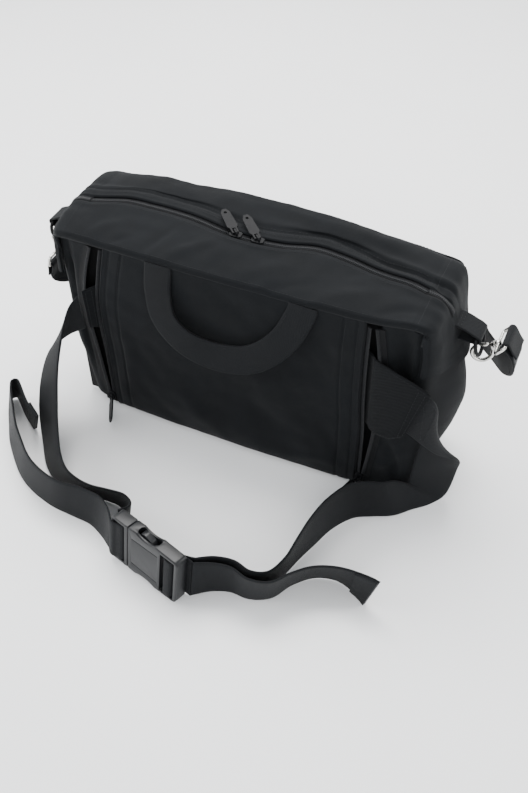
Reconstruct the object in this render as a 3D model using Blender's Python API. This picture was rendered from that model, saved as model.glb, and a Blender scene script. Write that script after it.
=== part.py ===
"""Soft zipped flight bag with a stowable waist belt, carry handle and clip-on shoulder strap.

Frame: origin at the centre of the flat base, +X to the bag's right, +Y to its back, +Z up. Metres.
"""
import math

import bpy
import bmesh
from mathutils import Matrix, Vector

# Bag shell
HALF_WIDTH = 0.200
HALF_DEPTH = 0.057
SEAM_HEIGHT = 0.236
CLOTH = 0.0025
GAP = 0.0004
BOTTOM_CLOTH = 0.0025
WALL_FOOT = BOTTOM_CLOTH + GAP
WALL_TOP = SEAM_HEIGHT - CLOTH - GAP
REAR_BULGE = 0.010
HOOD_STAND = 0.007
LEFT_BULGE = 0.006
RIGHT_BULGE = 0.014
SLEEVE_SPACE = 0.009
FRONT_WALL_FACE = -(HALF_DEPTH - CLOTH - SLEEVE_SPACE)
FRONT_FACE = -HALF_DEPTH

# Main zip, along X in the top of the bag
MOUTH_HALF = 0.182
ZIP_Y = -0.005
ZIP_Z = 0.2475
ZIP_EDGE = 0.0075
FRONT_CROWN = 0.004
REAR_CROWN = 0.009
MAIN_ZIP_HEIGHT = ZIP_Z + 0.0024

# Zip parts
BEAD = 0.0024
BEAD_HALF_HEIGHT = 0.0010
BEAD_INSET = 0.0008
TAPE_HALF_HEIGHT = 0.0004
TAPE_REACH = 0.0090
SLIDER_WIDTH = 0.0090
SLIDER_LENGTH = 0.0130
SLIDER_BACK = 0.0007
SLIDER_FRONT = 0.0011
SLIDER_CLEAR = 0.0003
SLIDER_FACE = BEAD_HALF_HEIGHT + SLIDER_CLEAR + SLIDER_FRONT
BRIDGE_HALF = 0.0042
BRIDGE_EYE = 0.0027
BRIDGE_BAR = 0.0012
BRIDGE_TOP = 0.0013
PULL_LENGTH = 0.034
PULL_WIDTH = 0.0110
PULL_THICK = 0.0018
PULL_BAR = 0.0006
PULL_LIFT = SLIDER_FACE + 0.0015
MAIN_SLIDERS = (-0.018, 0.006)
MAIN_PULL_YAW = 136.0
MAIN_PULL_RAISE = 8
SLEEVE_PULL_YAW = 62.0
SLEEVE_PULL_RAISE = 60

# Belt sleeve zips, upright on the front face
LEFT_ZIP_X = -0.1580
RIGHT_ZIP_X = 0.1480
LEFT_SLOT_BOW = 0.012
RIGHT_SLOT_BOW = 0.0136
SLEEVE_FOOT = 0.004
SLEEVE_HEAD = 0.231
SLEEVE_ZIP_STAND = 0.0023
TAPE_FOOT = 0.006
TAPE_HEAD = 0.229
SLEEVE_SLIDER_Z = 0.0170

# Webbing
BELT_WIDTH = 0.050
BELT_THICK = 0.0024
HANDLE_WIDTH = 0.030
HANDLE_THICK = 0.0030
SHOULDER_WIDTH = 0.030
SHOULDER_THICK = 0.0020

# Side-release buckle, standing on its long edge in front of the bag
BUCKLE_LENGTH = 0.090
BUCKLE_WIDTH = 0.062
BUCKLE_THICK = 0.015
BUCKLE_CENTRE = Vector((-0.0045, -0.2500, 0.0322))
BUCKLE_AXIS = Vector((-0.959, 0.284, 0.0)).normalized()
BUCKLE_UP = Vector((0.044, 0.148, 0.988)).normalized()

# Shoulder strap hardware
RING_BAR = Vector((0.2340, 0.0, 0.2080))
RING_WIDTH = 0.034
RING_DROP = 0.026
RING_WIRE = 0.0018
HOOK_RADIUS = 0.0085
HOOK_WIRE = 0.0021
HOOK_CENTRE = Vector((0.2390, 0.0, 0.1835))
HOOK_EYES = {-1: Vector((-0.2475, 0.0, 0.1470)), 1: Vector((0.2620, 0.0, 0.2130))}
GATE_PIVOT = Vector((-0.0046, 0, 0.0136))
GATE_TIP = Vector((-0.0079, 0, 0.0076))
BARREL_LOW = 0.0155
BARREL_HIGH = 0.0215
BARREL_RADIUS = 0.0042
EYE_HALF_WIDTH = 0.0175
EYE_LOW = 0.0245
TAB_WIDTH = 0.025
TAB_THICK = 0.0020


def clear_scene():
    for obj in list(bpy.data.objects):
        bpy.data.objects.remove(obj, do_unlink=True)


def make_material(name, colour, roughness, metallic=0.0):
    mat = bpy.data.materials.new(name)
    mat.use_nodes = True
    shader = mat.node_tree.nodes["Principled BSDF"]
    shader.inputs["Base Color"].default_value = (*colour, 1.0)
    shader.inputs["Roughness"].default_value = roughness
    shader.inputs["Metallic"].default_value = metallic
    return mat


WORLD = {}


def add(name, bm, look, frame=None, parent=None):
    """A mesh object; frame is its world matrix, and bm is in that frame's own coordinates."""
    frame = frame or Matrix.Identity(4)
    bmesh.ops.recalc_face_normals(bm, faces=bm.faces)
    mesh = bpy.data.meshes.new(name)
    bm.to_mesh(mesh)
    bm.free()
    mesh.materials.append(look)
    obj = bpy.data.objects.new(name, mesh)
    bpy.context.collection.objects.link(obj)
    obj.parent = parent
    obj.matrix_local = WORLD[parent.name].inverted() @ frame if parent else frame
    WORLD[name] = frame
    return obj


def shifted(bm, origin):
    """Moves a mesh drawn in world coordinates into a frame at origin; gives the frame."""
    bmesh.ops.translate(bm, verts=bm.verts, vec=-Vector(origin))
    return Matrix.Translation(origin)


def smooth(obj, angle=35):
    obj.data.shade_smooth()
    obj.data.set_sharp_from_angle(angle=math.radians(angle))
    return obj


def box(low, high):
    bm = bmesh.new()
    bmesh.ops.create_cube(bm, size=1.0)
    low, high = Vector(low), Vector(high)
    bmesh.ops.scale(bm, verts=bm.verts, vec=high - low)
    bmesh.ops.translate(bm, verts=bm.verts, vec=(low + high) / 2)
    return bm


def skin(loops, closed_run=False):
    """A closed solid through equal loops of points, capped at both ends unless the run closes."""
    bm = bmesh.new()
    rings = [[bm.verts.new(p) for p in loop] for loop in loops]
    count = len(rings[0])
    pairs = list(zip(rings, rings[1:]))
    if closed_run:
        pairs.append((rings[-1], rings[0]))
    for a, b in pairs:
        for i in range(count):
            j = (i + 1) % count
            bm.faces.new((a[i], a[j], b[j], b[i]))
    if not closed_run:
        bm.faces.new(rings[0][::-1])
        bm.faces.new(rings[-1])
    return bm


def slab(surface, columns, rows, offset):
    """A curved sheet: surface(u, v) is one face, and offset leads to the other."""
    bm = bmesh.new()
    offset = Vector(offset)
    grid = [[Vector(surface(i / columns, j / rows)) for j in range(rows + 1)] for i in range(columns + 1)]
    front = [[bm.verts.new(p) for p in line] for line in grid]
    back = [[bm.verts.new(p + offset) for p in line] for line in grid]
    for i in range(columns):
        for j in range(rows):
            bm.faces.new((front[i][j], front[i + 1][j], front[i + 1][j + 1], front[i][j + 1]))
            bm.faces.new((back[i][j + 1], back[i + 1][j + 1], back[i + 1][j], back[i][j]))
    for i in range(columns):
        bm.faces.new((front[i][0], back[i][0], back[i + 1][0], front[i + 1][0]))
        bm.faces.new((front[i][rows], front[i + 1][rows], back[i + 1][rows], back[i][rows]))
    for j in range(rows):
        bm.faces.new((front[0][j], front[0][j + 1], back[0][j + 1], back[0][j]))
        bm.faces.new((front[columns][j], back[columns][j], back[columns][j + 1], front[columns][j + 1]))
    return bm


def curve_point(a, b, c, d, t):
    """A Catmull-Rom curve from b to c, at a share t of the way."""
    bend = 2 * a - 5 * b + 4 * c - d
    twist = 3 * b - a - 3 * c + d
    return 0.5 * (2 * b + (c - a) * t + bend * t ** 2 + twist * t ** 3)


def resample(rows, step):
    """Rows of vectors on smooth curves through the given rows, about one step apart in their first."""
    columns = [[Vector(v) for v in column] for column in zip(*rows)]
    columns = [[2 * c[0] - c[1]] + c + [2 * c[-1] - c[-2]] for c in columns]
    run = []
    for k in range(1, len(rows)):
        count = max(1, round((columns[0][k + 1] - columns[0][k]).length / step))
        for i in range(count):
            run.append([curve_point(*c[k - 1:k + 3], i / count) for c in columns])
    run.append([c[-2] for c in columns])
    return run


def webbing_strip(route, widths, thick, step=0.008):
    """Webbing. Each row of the route is a point on its middle line and the way its width points."""
    rows = resample([(middle, Vector(across).normalized() * width / 2)
                     for (middle, across), width in zip(route, widths)], step)
    loops = []
    for i, (middle, reach) in enumerate(rows):
        along = rows[min(i + 1, len(rows) - 1)][0] - rows[max(i - 1, 0)][0]
        face = along.cross(reach).normalized() * thick / 2
        low, high = middle - reach, middle + reach
        loops.append([low - face, high - face, high + face, low + face])
    return skin(loops)


def ribbon(route, width, thick, step=0.008):
    """Webbing of one width. Its route is made fine first, so that twists don't narrow it."""
    fine = resample([(middle, Vector(across).normalized()) for middle, across in route], step)
    return webbing_strip(fine, [width] * len(fine), thick, math.inf)


def wire(points, radius, sides=8, closed_run=False):
    """A round bar through the points, which lie in one plane or turn gently."""
    points = [Vector(p) for p in points]
    count = len(points)
    loops = []
    side = None
    for i, point in enumerate(points):
        if closed_run:
            along = (points[(i + 1) % count] - points[i - 1]).normalized()
        else:
            along = (points[min(i + 1, count - 1)] - points[max(i - 1, 0)]).normalized()
        if side is None:
            side = along.orthogonal().normalized()
        side = (side - along * side.dot(along)).normalized()
        other = along.cross(side)
        turns = [2 * math.pi * (k + 0.5) / sides for k in range(sides)]
        loops.append([point + radius * (math.cos(a) * side + math.sin(a) * other) for a in turns])
    return skin(loops, closed_run)


def rod(low, high, radius, sides=14):
    """A straight round bar along Z."""
    return wire([(0, 0, low), (0, 0, (low + high) / 2), (0, 0, high)], radius, sides)


def prism(outline, low, high, axes=("x", "y", "z")):
    """An outline in two axes, extruded from low to high along the third."""
    places = ["xyz".index(a) for a in axes]
    loops = []
    for level in (low, high):
        loop = []
        for a, b in outline:
            point = [0.0, 0.0, 0.0]
            point[places[0]], point[places[1]], point[places[2]] = a, b, level
            loop.append(point)
        loops.append(loop)
    return skin(loops)


def boolean(obj, operation, name, bm):
    """Cuts a shape from an object, or joins it on; the shape is in the object's own frame."""
    other = add(name, bm, obj.data.materials[0], WORLD[obj.name])
    other.hide_render = True
    other.display_type = "WIRE"
    mod = obj.modifiers.new(name, "BOOLEAN")
    mod.operation = operation
    mod.object = other
    mod.solver = "EXACT"
    return obj


def hump(t):
    return math.sin(math.pi * min(max(t, 0.0), 1.0))


# ---------------------------------------------------------------- bag shell

def wall_height(v):
    return WALL_FOOT + (WALL_TOP - WALL_FOOT) * v


def wall_point(x, y, out, u, v):
    """A point on an outer wall that swells in its middle, by the length of out and along it."""
    swell = hump(u) * hump(v) ** 2
    return (x + out[0] * swell, y + out[1] * swell, wall_height(v))


def make_shell(cloth, board):
    corner = 0.0030
    reach = HALF_WIDTH - 0.002
    add("bottom_panel", box((-reach, -HALF_DEPTH, 0), (reach, HALF_DEPTH, BOTTOM_CLOTH)), cloth)

    def rear(u, v):
        return wall_point((2 * u - 1) * (HALF_WIDTH - corner), HALF_DEPTH - CLOTH, (0, REAR_BULGE), u, v)

    add("rear_panel", slab(rear, 14, 8, (0, CLOTH, 0)), cloth)

    def front_wall(u, v):
        return ((2 * u - 1) * (HALF_WIDTH - corner), FRONT_WALL_FACE, wall_height(v))

    add("front_wall", slab(front_wall, 6, 3, (0, CLOTH, 0)), cloth)
    depth_low = FRONT_WALL_FACE + 0.0005
    depth_high = HALF_DEPTH - corner
    for name, sign, bulge in (("left_side_panel", -1, LEFT_BULGE), ("right_side_panel", 1, RIGHT_BULGE)):
        def side(u, v):
            y = depth_low + (depth_high - depth_low) * u
            return wall_point(sign * (HALF_WIDTH - CLOTH), y, (sign * bulge, 0), u, v)

        add(name, slab(side, 6, 8, (sign * CLOTH, 0, 0)), cloth)
    inset = 0.006
    add("base_board", box((-HALF_WIDTH + inset, FRONT_WALL_FACE + CLOTH + GAP, WALL_FOOT),
                          (HALF_WIDTH - inset, HALF_DEPTH - inset, WALL_FOOT + 0.0020)), board)


def slot_gape(v):
    """How far open an unzipped slot stands, 0 to 1, at a share v of its height."""
    return math.sqrt(max(hump(v), 0.0))


def sleeve_edges(zip_x, side, bow, v):
    """Inner panel edge and outer strip edge of a sleeve zip; side is where the strip lies."""
    panel = zip_x - side * 0.0035
    strip = zip_x + side * (0.0035 + bow * slot_gape(v))
    return panel, strip


def make_sleeve(cloth):
    """The front panel that hides the stowed belt, open at its left and right slots."""
    left = sleeve_edges(LEFT_ZIP_X, -1, LEFT_SLOT_BOW, 0)[0]
    right = sleeve_edges(RIGHT_ZIP_X, 1, RIGHT_SLOT_BOW, 0)[0]
    lip = 0.004
    outline = [(FRONT_FACE, SLEEVE_FOOT), (FRONT_WALL_FACE - GAP, SLEEVE_FOOT),
               (FRONT_WALL_FACE - GAP, SLEEVE_FOOT + lip), (FRONT_FACE + CLOTH, SLEEVE_FOOT + lip),
               (FRONT_FACE + CLOTH, SLEEVE_HEAD - lip), (FRONT_WALL_FACE - GAP, SLEEVE_HEAD - lip),
               (FRONT_WALL_FACE - GAP, SLEEVE_HEAD), (FRONT_FACE, SLEEVE_HEAD)]
    add("belt_sleeve_panel", prism(outline, left, right, ("y", "z", "x")), cloth)
    for name, zip_x, side, bow in (("front_left_strip", LEFT_ZIP_X, -1, LEFT_SLOT_BOW),
                                   ("front_right_strip", RIGHT_ZIP_X, 1, RIGHT_SLOT_BOW)):
        outer = side * HALF_WIDTH
        loops = []
        for j in range(13):
            v = j / 12
            z = wall_height(v)
            edge = sleeve_edges(zip_x, side, bow, v)[1]
            face, hidden, back = FRONT_FACE, FRONT_FACE + CLOTH, FRONT_WALL_FACE - GAP
            thin = side * CLOTH
            plan = [(edge, face), (outer, face), (outer, back), (outer - thin, back), (outer - thin, hidden),
                    (edge, hidden)]
            loops.append([(x, y, z) for x, y in plan])
        add(name, skin(loops), cloth)


def make_top_ends(cloth):
    """Fixed gussets at both ends of the mouth, which fold down over the side panels."""
    for name, side in (("top_left_gusset", -1), ("top_right_gusset", 1)):
        inner = side * (MOUTH_HALF + GAP)
        outer = side * (HALF_WIDTH + HOOD_STAND)
        drop = 0.035
        loops = []
        for j in range(11):
            v = j / 10
            y = -HALF_DEPTH + 2 * HALF_DEPTH * v
            crown = 0.010 * hump(v)
            z = SEAM_HEIGHT + crown
            low = SEAM_HEIGHT - drop
            thin = side * CLOTH
            plan = [(inner, z), (outer - 3 * thin, z - 0.0008), (outer - thin, z - 0.0040),
                    (outer, z - 0.0100), (outer, low), (outer - thin, low),
                    (outer - thin, z - 0.0105), (outer - 2.4 * thin, z - 0.0024), (inner, z - CLOTH)]
            loops.append([(x, y, zz) for x, zz in plan])
        add(name, skin(loops), cloth)


# ---------------------------------------------------------------- mouth flaps and zips

def flap_point(y_seam, y_edge, crown, u, v):
    z = SEAM_HEIGHT + (ZIP_Z - SEAM_HEIGHT) * math.sin(math.pi / 2 * v) + crown * hump(v)
    return (2 * u - 1) * MOUTH_HALF, y_seam + (y_edge - y_seam) * v, z


def make_flaps(cloth):
    flaps = {}
    for name, y_seam, y_edge, crown in (("top_front_flap", -HALF_DEPTH, ZIP_Y - ZIP_EDGE, FRONT_CROWN),
                                        ("top_rear_flap", HALF_DEPTH, ZIP_Y + ZIP_EDGE, REAR_CROWN)):
        def surface(u, v):
            return flap_point(y_seam, y_edge, crown, u, v)

        bm = slab(surface, 12, 8, (0, 0, -CLOTH))
        flaps[name] = add(name, bm, cloth, shifted(bm, (0, y_seam, SEAM_HEIGHT)))
    return flaps


def bead_section(side):
    """Zip half: a tooth bead beside the middle line, and the tape that leads away from it."""
    points = [(BEAD_INSET, -BEAD_HALF_HEIGHT), (BEAD_INSET + BEAD, -BEAD_HALF_HEIGHT),
              (BEAD_INSET + BEAD, -TAPE_HALF_HEIGHT), (TAPE_REACH, -TAPE_HALF_HEIGHT),
              (TAPE_REACH, TAPE_HALF_HEIGHT), (BEAD_INSET + BEAD, TAPE_HALF_HEIGHT),
              (BEAD_INSET + BEAD, BEAD_HALF_HEIGHT), (BEAD_INSET, BEAD_HALF_HEIGHT)]
    return [(side * a, b) for a, b in points]


def make_main_zip(flaps, tape):
    for name, side, flap in (("main_zip_front_half", -1, "top_front_flap"),
                             ("main_zip_rear_half", 1, "top_rear_flap")):
        loops = [[(x, ZIP_Y + a, MAIN_ZIP_HEIGHT + b) for a, b in bead_section(side)]
                 for x in (-MOUTH_HALF, MOUTH_HALF)]
        bm = skin(loops)
        add(name, bm, tape, shifted(bm, WORLD[flap].translation), flaps[flap])


def slider_mesh(post_end):
    """A slider about its own middle: run along X, width along Y, front face up. The post is at post_end."""
    front = BEAD_HALF_HEIGHT + SLIDER_CLEAR
    half = SLIDER_LENGTH / 2
    tip = half * 0.62
    narrow = SLIDER_WIDTH * 0.32
    outline = [(-half, -narrow), (-tip, -SLIDER_WIDTH / 2), (tip, -SLIDER_WIDTH / 2), (half, -narrow),
               (half, narrow), (tip, SLIDER_WIDTH / 2), (-tip, SLIDER_WIDTH / 2), (-half, narrow)]
    top = prism(outline, front, front + SLIDER_FRONT)
    bottom = prism(outline, -front - SLIDER_BACK, -front)
    post_half = 0.0004
    overlap = 0.0003
    near, far = sorted((post_end * (half - 0.0045), post_end * (half - 0.0010)))
    post = box((near, -post_half, -front - overlap), (far, post_half, front + overlap))
    return top, bottom, post


def bridge_mesh():
    """The arch over a slider, along X, that its pull hangs on."""
    low = SLIDER_FACE - 0.0003
    high = SLIDER_FACE + BRIDGE_EYE + BRIDGE_TOP
    cut = BRIDGE_BAR
    outline = [(-BRIDGE_HALF, low), (BRIDGE_HALF, low), (BRIDGE_HALF, high - cut), (BRIDGE_HALF - cut, high),
               (-BRIDGE_HALF + cut, high), (-BRIDGE_HALF, high - cut)]
    return prism(outline, -0.0010, 0.0010, ("x", "z", "y"))


def add_slider(name, frame, post_end, metal, bridge_yaw, parent=None):
    top, bottom, post = slider_mesh(post_end)
    obj = add(name, top, metal, frame, parent)
    boolean(obj, "UNION", name + "_back", bottom)
    boolean(obj, "UNION", name + "_post", post)
    yaw = Matrix.Rotation(bridge_yaw, 4, "Z")
    bridge = bridge_mesh()
    bmesh.ops.transform(bridge, matrix=yaw, verts=bridge.verts)
    boolean(obj, "UNION", name + "_bridge", bridge)
    eye = box((-BRIDGE_HALF + BRIDGE_BAR, -0.004, SLIDER_FACE + 0.0003),
              (BRIDGE_HALF - BRIDGE_BAR, 0.004, SLIDER_FACE + BRIDGE_EYE))
    bmesh.ops.transform(eye, matrix=yaw, verts=eye.verts)
    boolean(obj, "DIFFERENCE", name + "_eye", eye)
    return obj


def add_pull(name, frame, metal, parent):
    """A pull tab that hangs on the slider's bridge; its hinge is the frame's Y axis, and it lies along +X."""
    half = PULL_WIDTH / 2
    thick = PULL_THICK / 2
    outline = [(-PULL_BAR, -0.0034), (0.0060, -0.0036), (0.0085, -half), (PULL_LENGTH - 0.005, -half * 0.86),
               (PULL_LENGTH, -half * 0.4), (PULL_LENGTH, half * 0.4), (PULL_LENGTH - 0.005, half * 0.86),
               (0.0085, half), (0.0060, 0.0036), (-PULL_BAR, 0.0034)]
    obj = add(name, prism(outline, -thick, thick), metal, frame, parent)
    loop_hole = box((PULL_BAR, -0.0018, -0.01), (BRIDGE_HALF + 0.0014, 0.0018, 0.01))
    boolean(obj, "DIFFERENCE", name + "_loop_hole", loop_hole)
    tip_hole = prism([(PULL_LENGTH - 0.0050 + 0.0017 * math.cos(a), 0.0017 * math.sin(a))
                      for a in (k * math.pi / 4 for k in range(8))], -0.01, 0.01)
    boolean(obj, "DIFFERENCE", name + "_tip_hole", tip_hole)
    return obj


def make_main_sliders(flaps, metal):
    flap = flaps["top_rear_flap"]
    for name, x, post_end in (("left", MAIN_SLIDERS[0], 1), ("right", MAIN_SLIDERS[1], -1)):
        frame = Matrix.Translation((x, ZIP_Y, MAIN_ZIP_HEIGHT))
        yaw = math.radians(MAIN_PULL_YAW)
        slider = add_slider("main_slider_" + name, frame, post_end, metal, yaw, flap)
        lean = Matrix.Rotation(yaw, 4, "Z") @ Matrix.Rotation(math.radians(-MAIN_PULL_RAISE), 4, "Y")
        hang = Matrix.Translation((x, ZIP_Y, MAIN_ZIP_HEIGHT + PULL_LIFT))
        add_pull("main_pull_" + name, hang @ lean, metal, slider)


def make_sleeve_zips(tape, metal):
    stand = -(HALF_DEPTH + SLEEVE_ZIP_STAND)
    for name, zip_x, side, bow in (("left", LEFT_ZIP_X, -1, LEFT_SLOT_BOW),
                                   ("right", RIGHT_ZIP_X, 1, RIGHT_SLOT_BOW)):
        inner = [[(zip_x + a, stand - b, z) for a, b in bead_section(-side)] for z in (TAPE_FOOT, TAPE_HEAD)]
        add(name + "_zip_inner_half", skin(inner), tape)
        outer = []
        for j in range(13):
            v = j / 12
            z = TAPE_FOOT + (TAPE_HEAD - TAPE_FOOT) * v
            shift = side * bow * slot_gape((z - WALL_FOOT) / (WALL_TOP - WALL_FOOT))
            outer.append([(zip_x + shift + a, stand - b, z) for a, b in bead_section(side)])
        add(name + "_zip_outer_half", skin(outer), tape)
        upright = Matrix(((0, 1, 0), (0, 0, -1), (-1, 0, 0))).to_4x4()
        frame = Matrix.Translation((zip_x, stand, SLEEVE_SLIDER_Z)) @ upright
        yaw = math.radians(-side * SLEEVE_PULL_YAW)
        slider = add_slider(name + "_zip_slider", frame, -1, metal, yaw)
        hang = Matrix.Translation((zip_x, stand - PULL_LIFT, SLEEVE_SLIDER_Z)) @ upright
        lean = Matrix.Rotation(yaw, 4, "Z") @ Matrix.Rotation(math.radians(-SLEEVE_PULL_RAISE), 4, "Y")
        add_pull(name + "_zip_pull", hang @ lean, metal, slider)


# ---------------------------------------------------------------- webbing

HANDLE_ROUTE = [
    ((-0.0775, -0.0605, 0.2290), (1, 0, 0)), ((-0.0775, -0.0650, 0.2050), (1, 0, 0.15)),
    ((-0.0680, -0.0740, 0.1780), (0.88, 0.05, 0.45)), ((-0.0420, -0.0790, 0.1590), (0.5, 0.2, 0.85)),
    ((-0.0050, -0.0790, 0.1530), (0, 0.38, 0.92)), ((0.0330, -0.0770, 0.1640), (-0.5, 0.3, 0.8)),
    ((0.0620, -0.0690, 0.1930), (-0.88, 0.05, 0.45)), ((0.0770, -0.0605, 0.2290), (-1, 0, 0.05)),
]

RIGHT_WING_ROUTE = [
    ((0.1000, -0.0500, 0.1460), (0, 0, 1)), ((0.1360, -0.0502, 0.1460), (0, 0, 1)),
    ((0.1455, -0.0525, 0.1465), (0, 0, 1)), ((0.1512, -0.0575, 0.1470), (0, 0, 1)),
    ((0.1565, -0.0635, 0.1480), (0, 0.03, 1)), ((0.1790, -0.0705, 0.1480), (0.08, 0.08, 0.99)),
    ((0.2015, -0.0705, 0.1465), (0.28, 0.14, 0.95)),
]
RIGHT_WING_WIDTHS = (0.098, 0.098, 0.098, 0.096, 0.092, 0.080, 0.062)
LEFT_WING_ROUTE = [
    ((-0.1000, -0.0500, 0.1480), (0, 0, 1)), ((-0.1460, -0.0502, 0.1480), (0, 0, 1)),
    ((-0.1565, -0.0528, 0.1480), (0, 0, 1)), ((-0.1640, -0.0585, 0.1480), (0, 0, 1)),
    ((-0.1710, -0.0645, 0.1470), (0, -0.05, 1)),
]
LEFT_WING_WIDTHS = (0.080, 0.080, 0.072, 0.060, 0.052)

RIGHT_STRAP_ROUTE = [
    ((0.2050, -0.0712, 0.1430), (0.3, 0.18, 0.94)), ((0.2200, -0.0590, 0.1180), (-0.05, 0.1, 0.99)),
    ((0.2260, -0.0460, 0.0850), (-0.72, -0.25, 0.6)), ((0.2236, -0.0424, 0.0480), (-0.82, -0.5, 0.15)),
    ((0.2202, -0.0480, 0.0200), (-0.75, -0.42, 0.5)), ((0.2120, -0.0600, 0.0215), (-0.62, -0.26, 0.74)),
    ((0.2000, -0.0710, 0.0245), (-0.48, -0.12, 0.87)), ((0.1880, -0.0830, 0.0255), (-0.33, 0.02, 0.94)),
    ((0.1700, -0.0910, 0.0255), (-0.28, 0.07, 0.95)), ((0.1530, -0.1020, 0.0258), (-0.2, 0.05, 0.97)),
    ((0.1390, -0.1260, 0.0260), (-0.15, -0.04, 0.98)), ((0.1310, -0.1540, 0.0260), (-0.08, -0.1, 0.98)),
    ((0.1260, -0.1800, 0.0260), (0.02, -0.2, 0.98)), ((0.1220, -0.2020, 0.0255), (0.1, -0.24, 0.96)),
    ((0.1140, -0.2240, 0.0256), (0.1, -0.2, 0.97)), ((0.0980, -0.2340, 0.0258), (0.08, -0.08, 0.99)),
    ((0.0790, -0.2320, 0.0260), (0.1, 0, 0.99)), ((0.0600, -0.2380, 0.0265), (0.08, 0.08, 0.99)),
    ((0.0450, -0.2500, 0.0290), (0.05, 0.13, 0.99)),
]
RIGHT_TAIL_ROUTE = [
    ((0.0460, -0.2560, 0.0290), (0.05, 0.10, 0.99)), ((0.0620, -0.2440, 0.0265), (0.08, 0.04, 0.99)),
    ((0.0800, -0.2390, 0.0260), (0.08, -0.05, 0.99)), ((0.1000, -0.2410, 0.0258), (0.06, -0.15, 0.98)),
    ((0.1200, -0.2330, 0.0255), (0.08, -0.24, 0.96)), ((0.1330, -0.2140, 0.0252), (0.10, -0.32, 0.94)),
    ((0.1510, -0.1970, 0.0250), (0.06, -0.36, 0.93)), ((0.1740, -0.1900, 0.0250), (0.06, -0.30, 0.95)),
    ((0.2000, -0.1930, 0.0250), (0.18, -0.10, 0.95)), ((0.2110, -0.1970, 0.0250), (0.25, 0.00, 0.95)),
]
LEFT_STRAP_ROUTE = [
    ((-0.1745, -0.0680, 0.1450), (0.02, -0.1, 0.99)), ((-0.1890, -0.0760, 0.1320), (0.26, -0.12, 0.95)),
    ((-0.2010, -0.0880, 0.1080), (0.55, -0.12, 0.82)), ((-0.2050, -0.1040, 0.0760), (0.64, -0.08, 0.75)),
    ((-0.2010, -0.1230, 0.0440), (0.66, -0.08, 0.74)), ((-0.1850, -0.1490, 0.0250), (0.6, -0.08, 0.8)),
    ((-0.1640, -0.1760, 0.0225), (0.56, -0.1, 0.82)), ((-0.1440, -0.1920, 0.0235), (0.46, -0.14, 0.86)),
    ((-0.1250, -0.1980, 0.0240), (0.38, -0.2, 0.9)), ((-0.1060, -0.1985, 0.0240), (0.34, -0.28, 0.9)),
    ((-0.0860, -0.1960, 0.0240), (0.34, -0.3, 0.9)), ((-0.0670, -0.1960, 0.0245), (0.32, -0.26, 0.91)),
    ((-0.0530, -0.2050, 0.0255), (0.26, -0.16, 0.94)), ((-0.0480, -0.2180, 0.0280), (0.16, 0.02, 0.98)),
    ((-0.0505, -0.2300, 0.0300), (0.06, 0.12, 0.99)),
]
LEFT_TAIL_ROUTE = [
    ((-0.0545, -0.2400, 0.0300), (0.05, 0.13, 0.99)), ((-0.0680, -0.2290, 0.0285), (0.16, 0.14, 0.97)),
    ((-0.0860, -0.2195, 0.0260), (0.24, 0.15, 0.95)), ((-0.1120, -0.2170, 0.0250), (0.24, 0.14, 0.95)),
    ((-0.1420, -0.2160, 0.0252), (0.32, 0.05, 0.94)), ((-0.1807, -0.2016, 0.0252), (0.4, -0.02, 0.91)),
    ((-0.2188, -0.1693, 0.0245), (0.46, -0.12, 0.87)), ((-0.2420, -0.1420, 0.0245), (0.42, -0.17, 0.89)),
    ((-0.2600, -0.1180, 0.0246), (0.36, -0.16, 0.92)), ((-0.2655, -0.1080, 0.0248), (0.34, -0.14, 0.93)),
    ((-0.2610, -0.1030, 0.0250), (0.34, -0.18, 0.93)), ((-0.2530, -0.1080, 0.0248), (0.36, -0.22, 0.91)),
    ((-0.2330, -0.1250, 0.0245), (0.38, -0.25, 0.89)), ((-0.2110, -0.1400, 0.0245), (0.39, -0.26, 0.88)),
]
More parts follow.
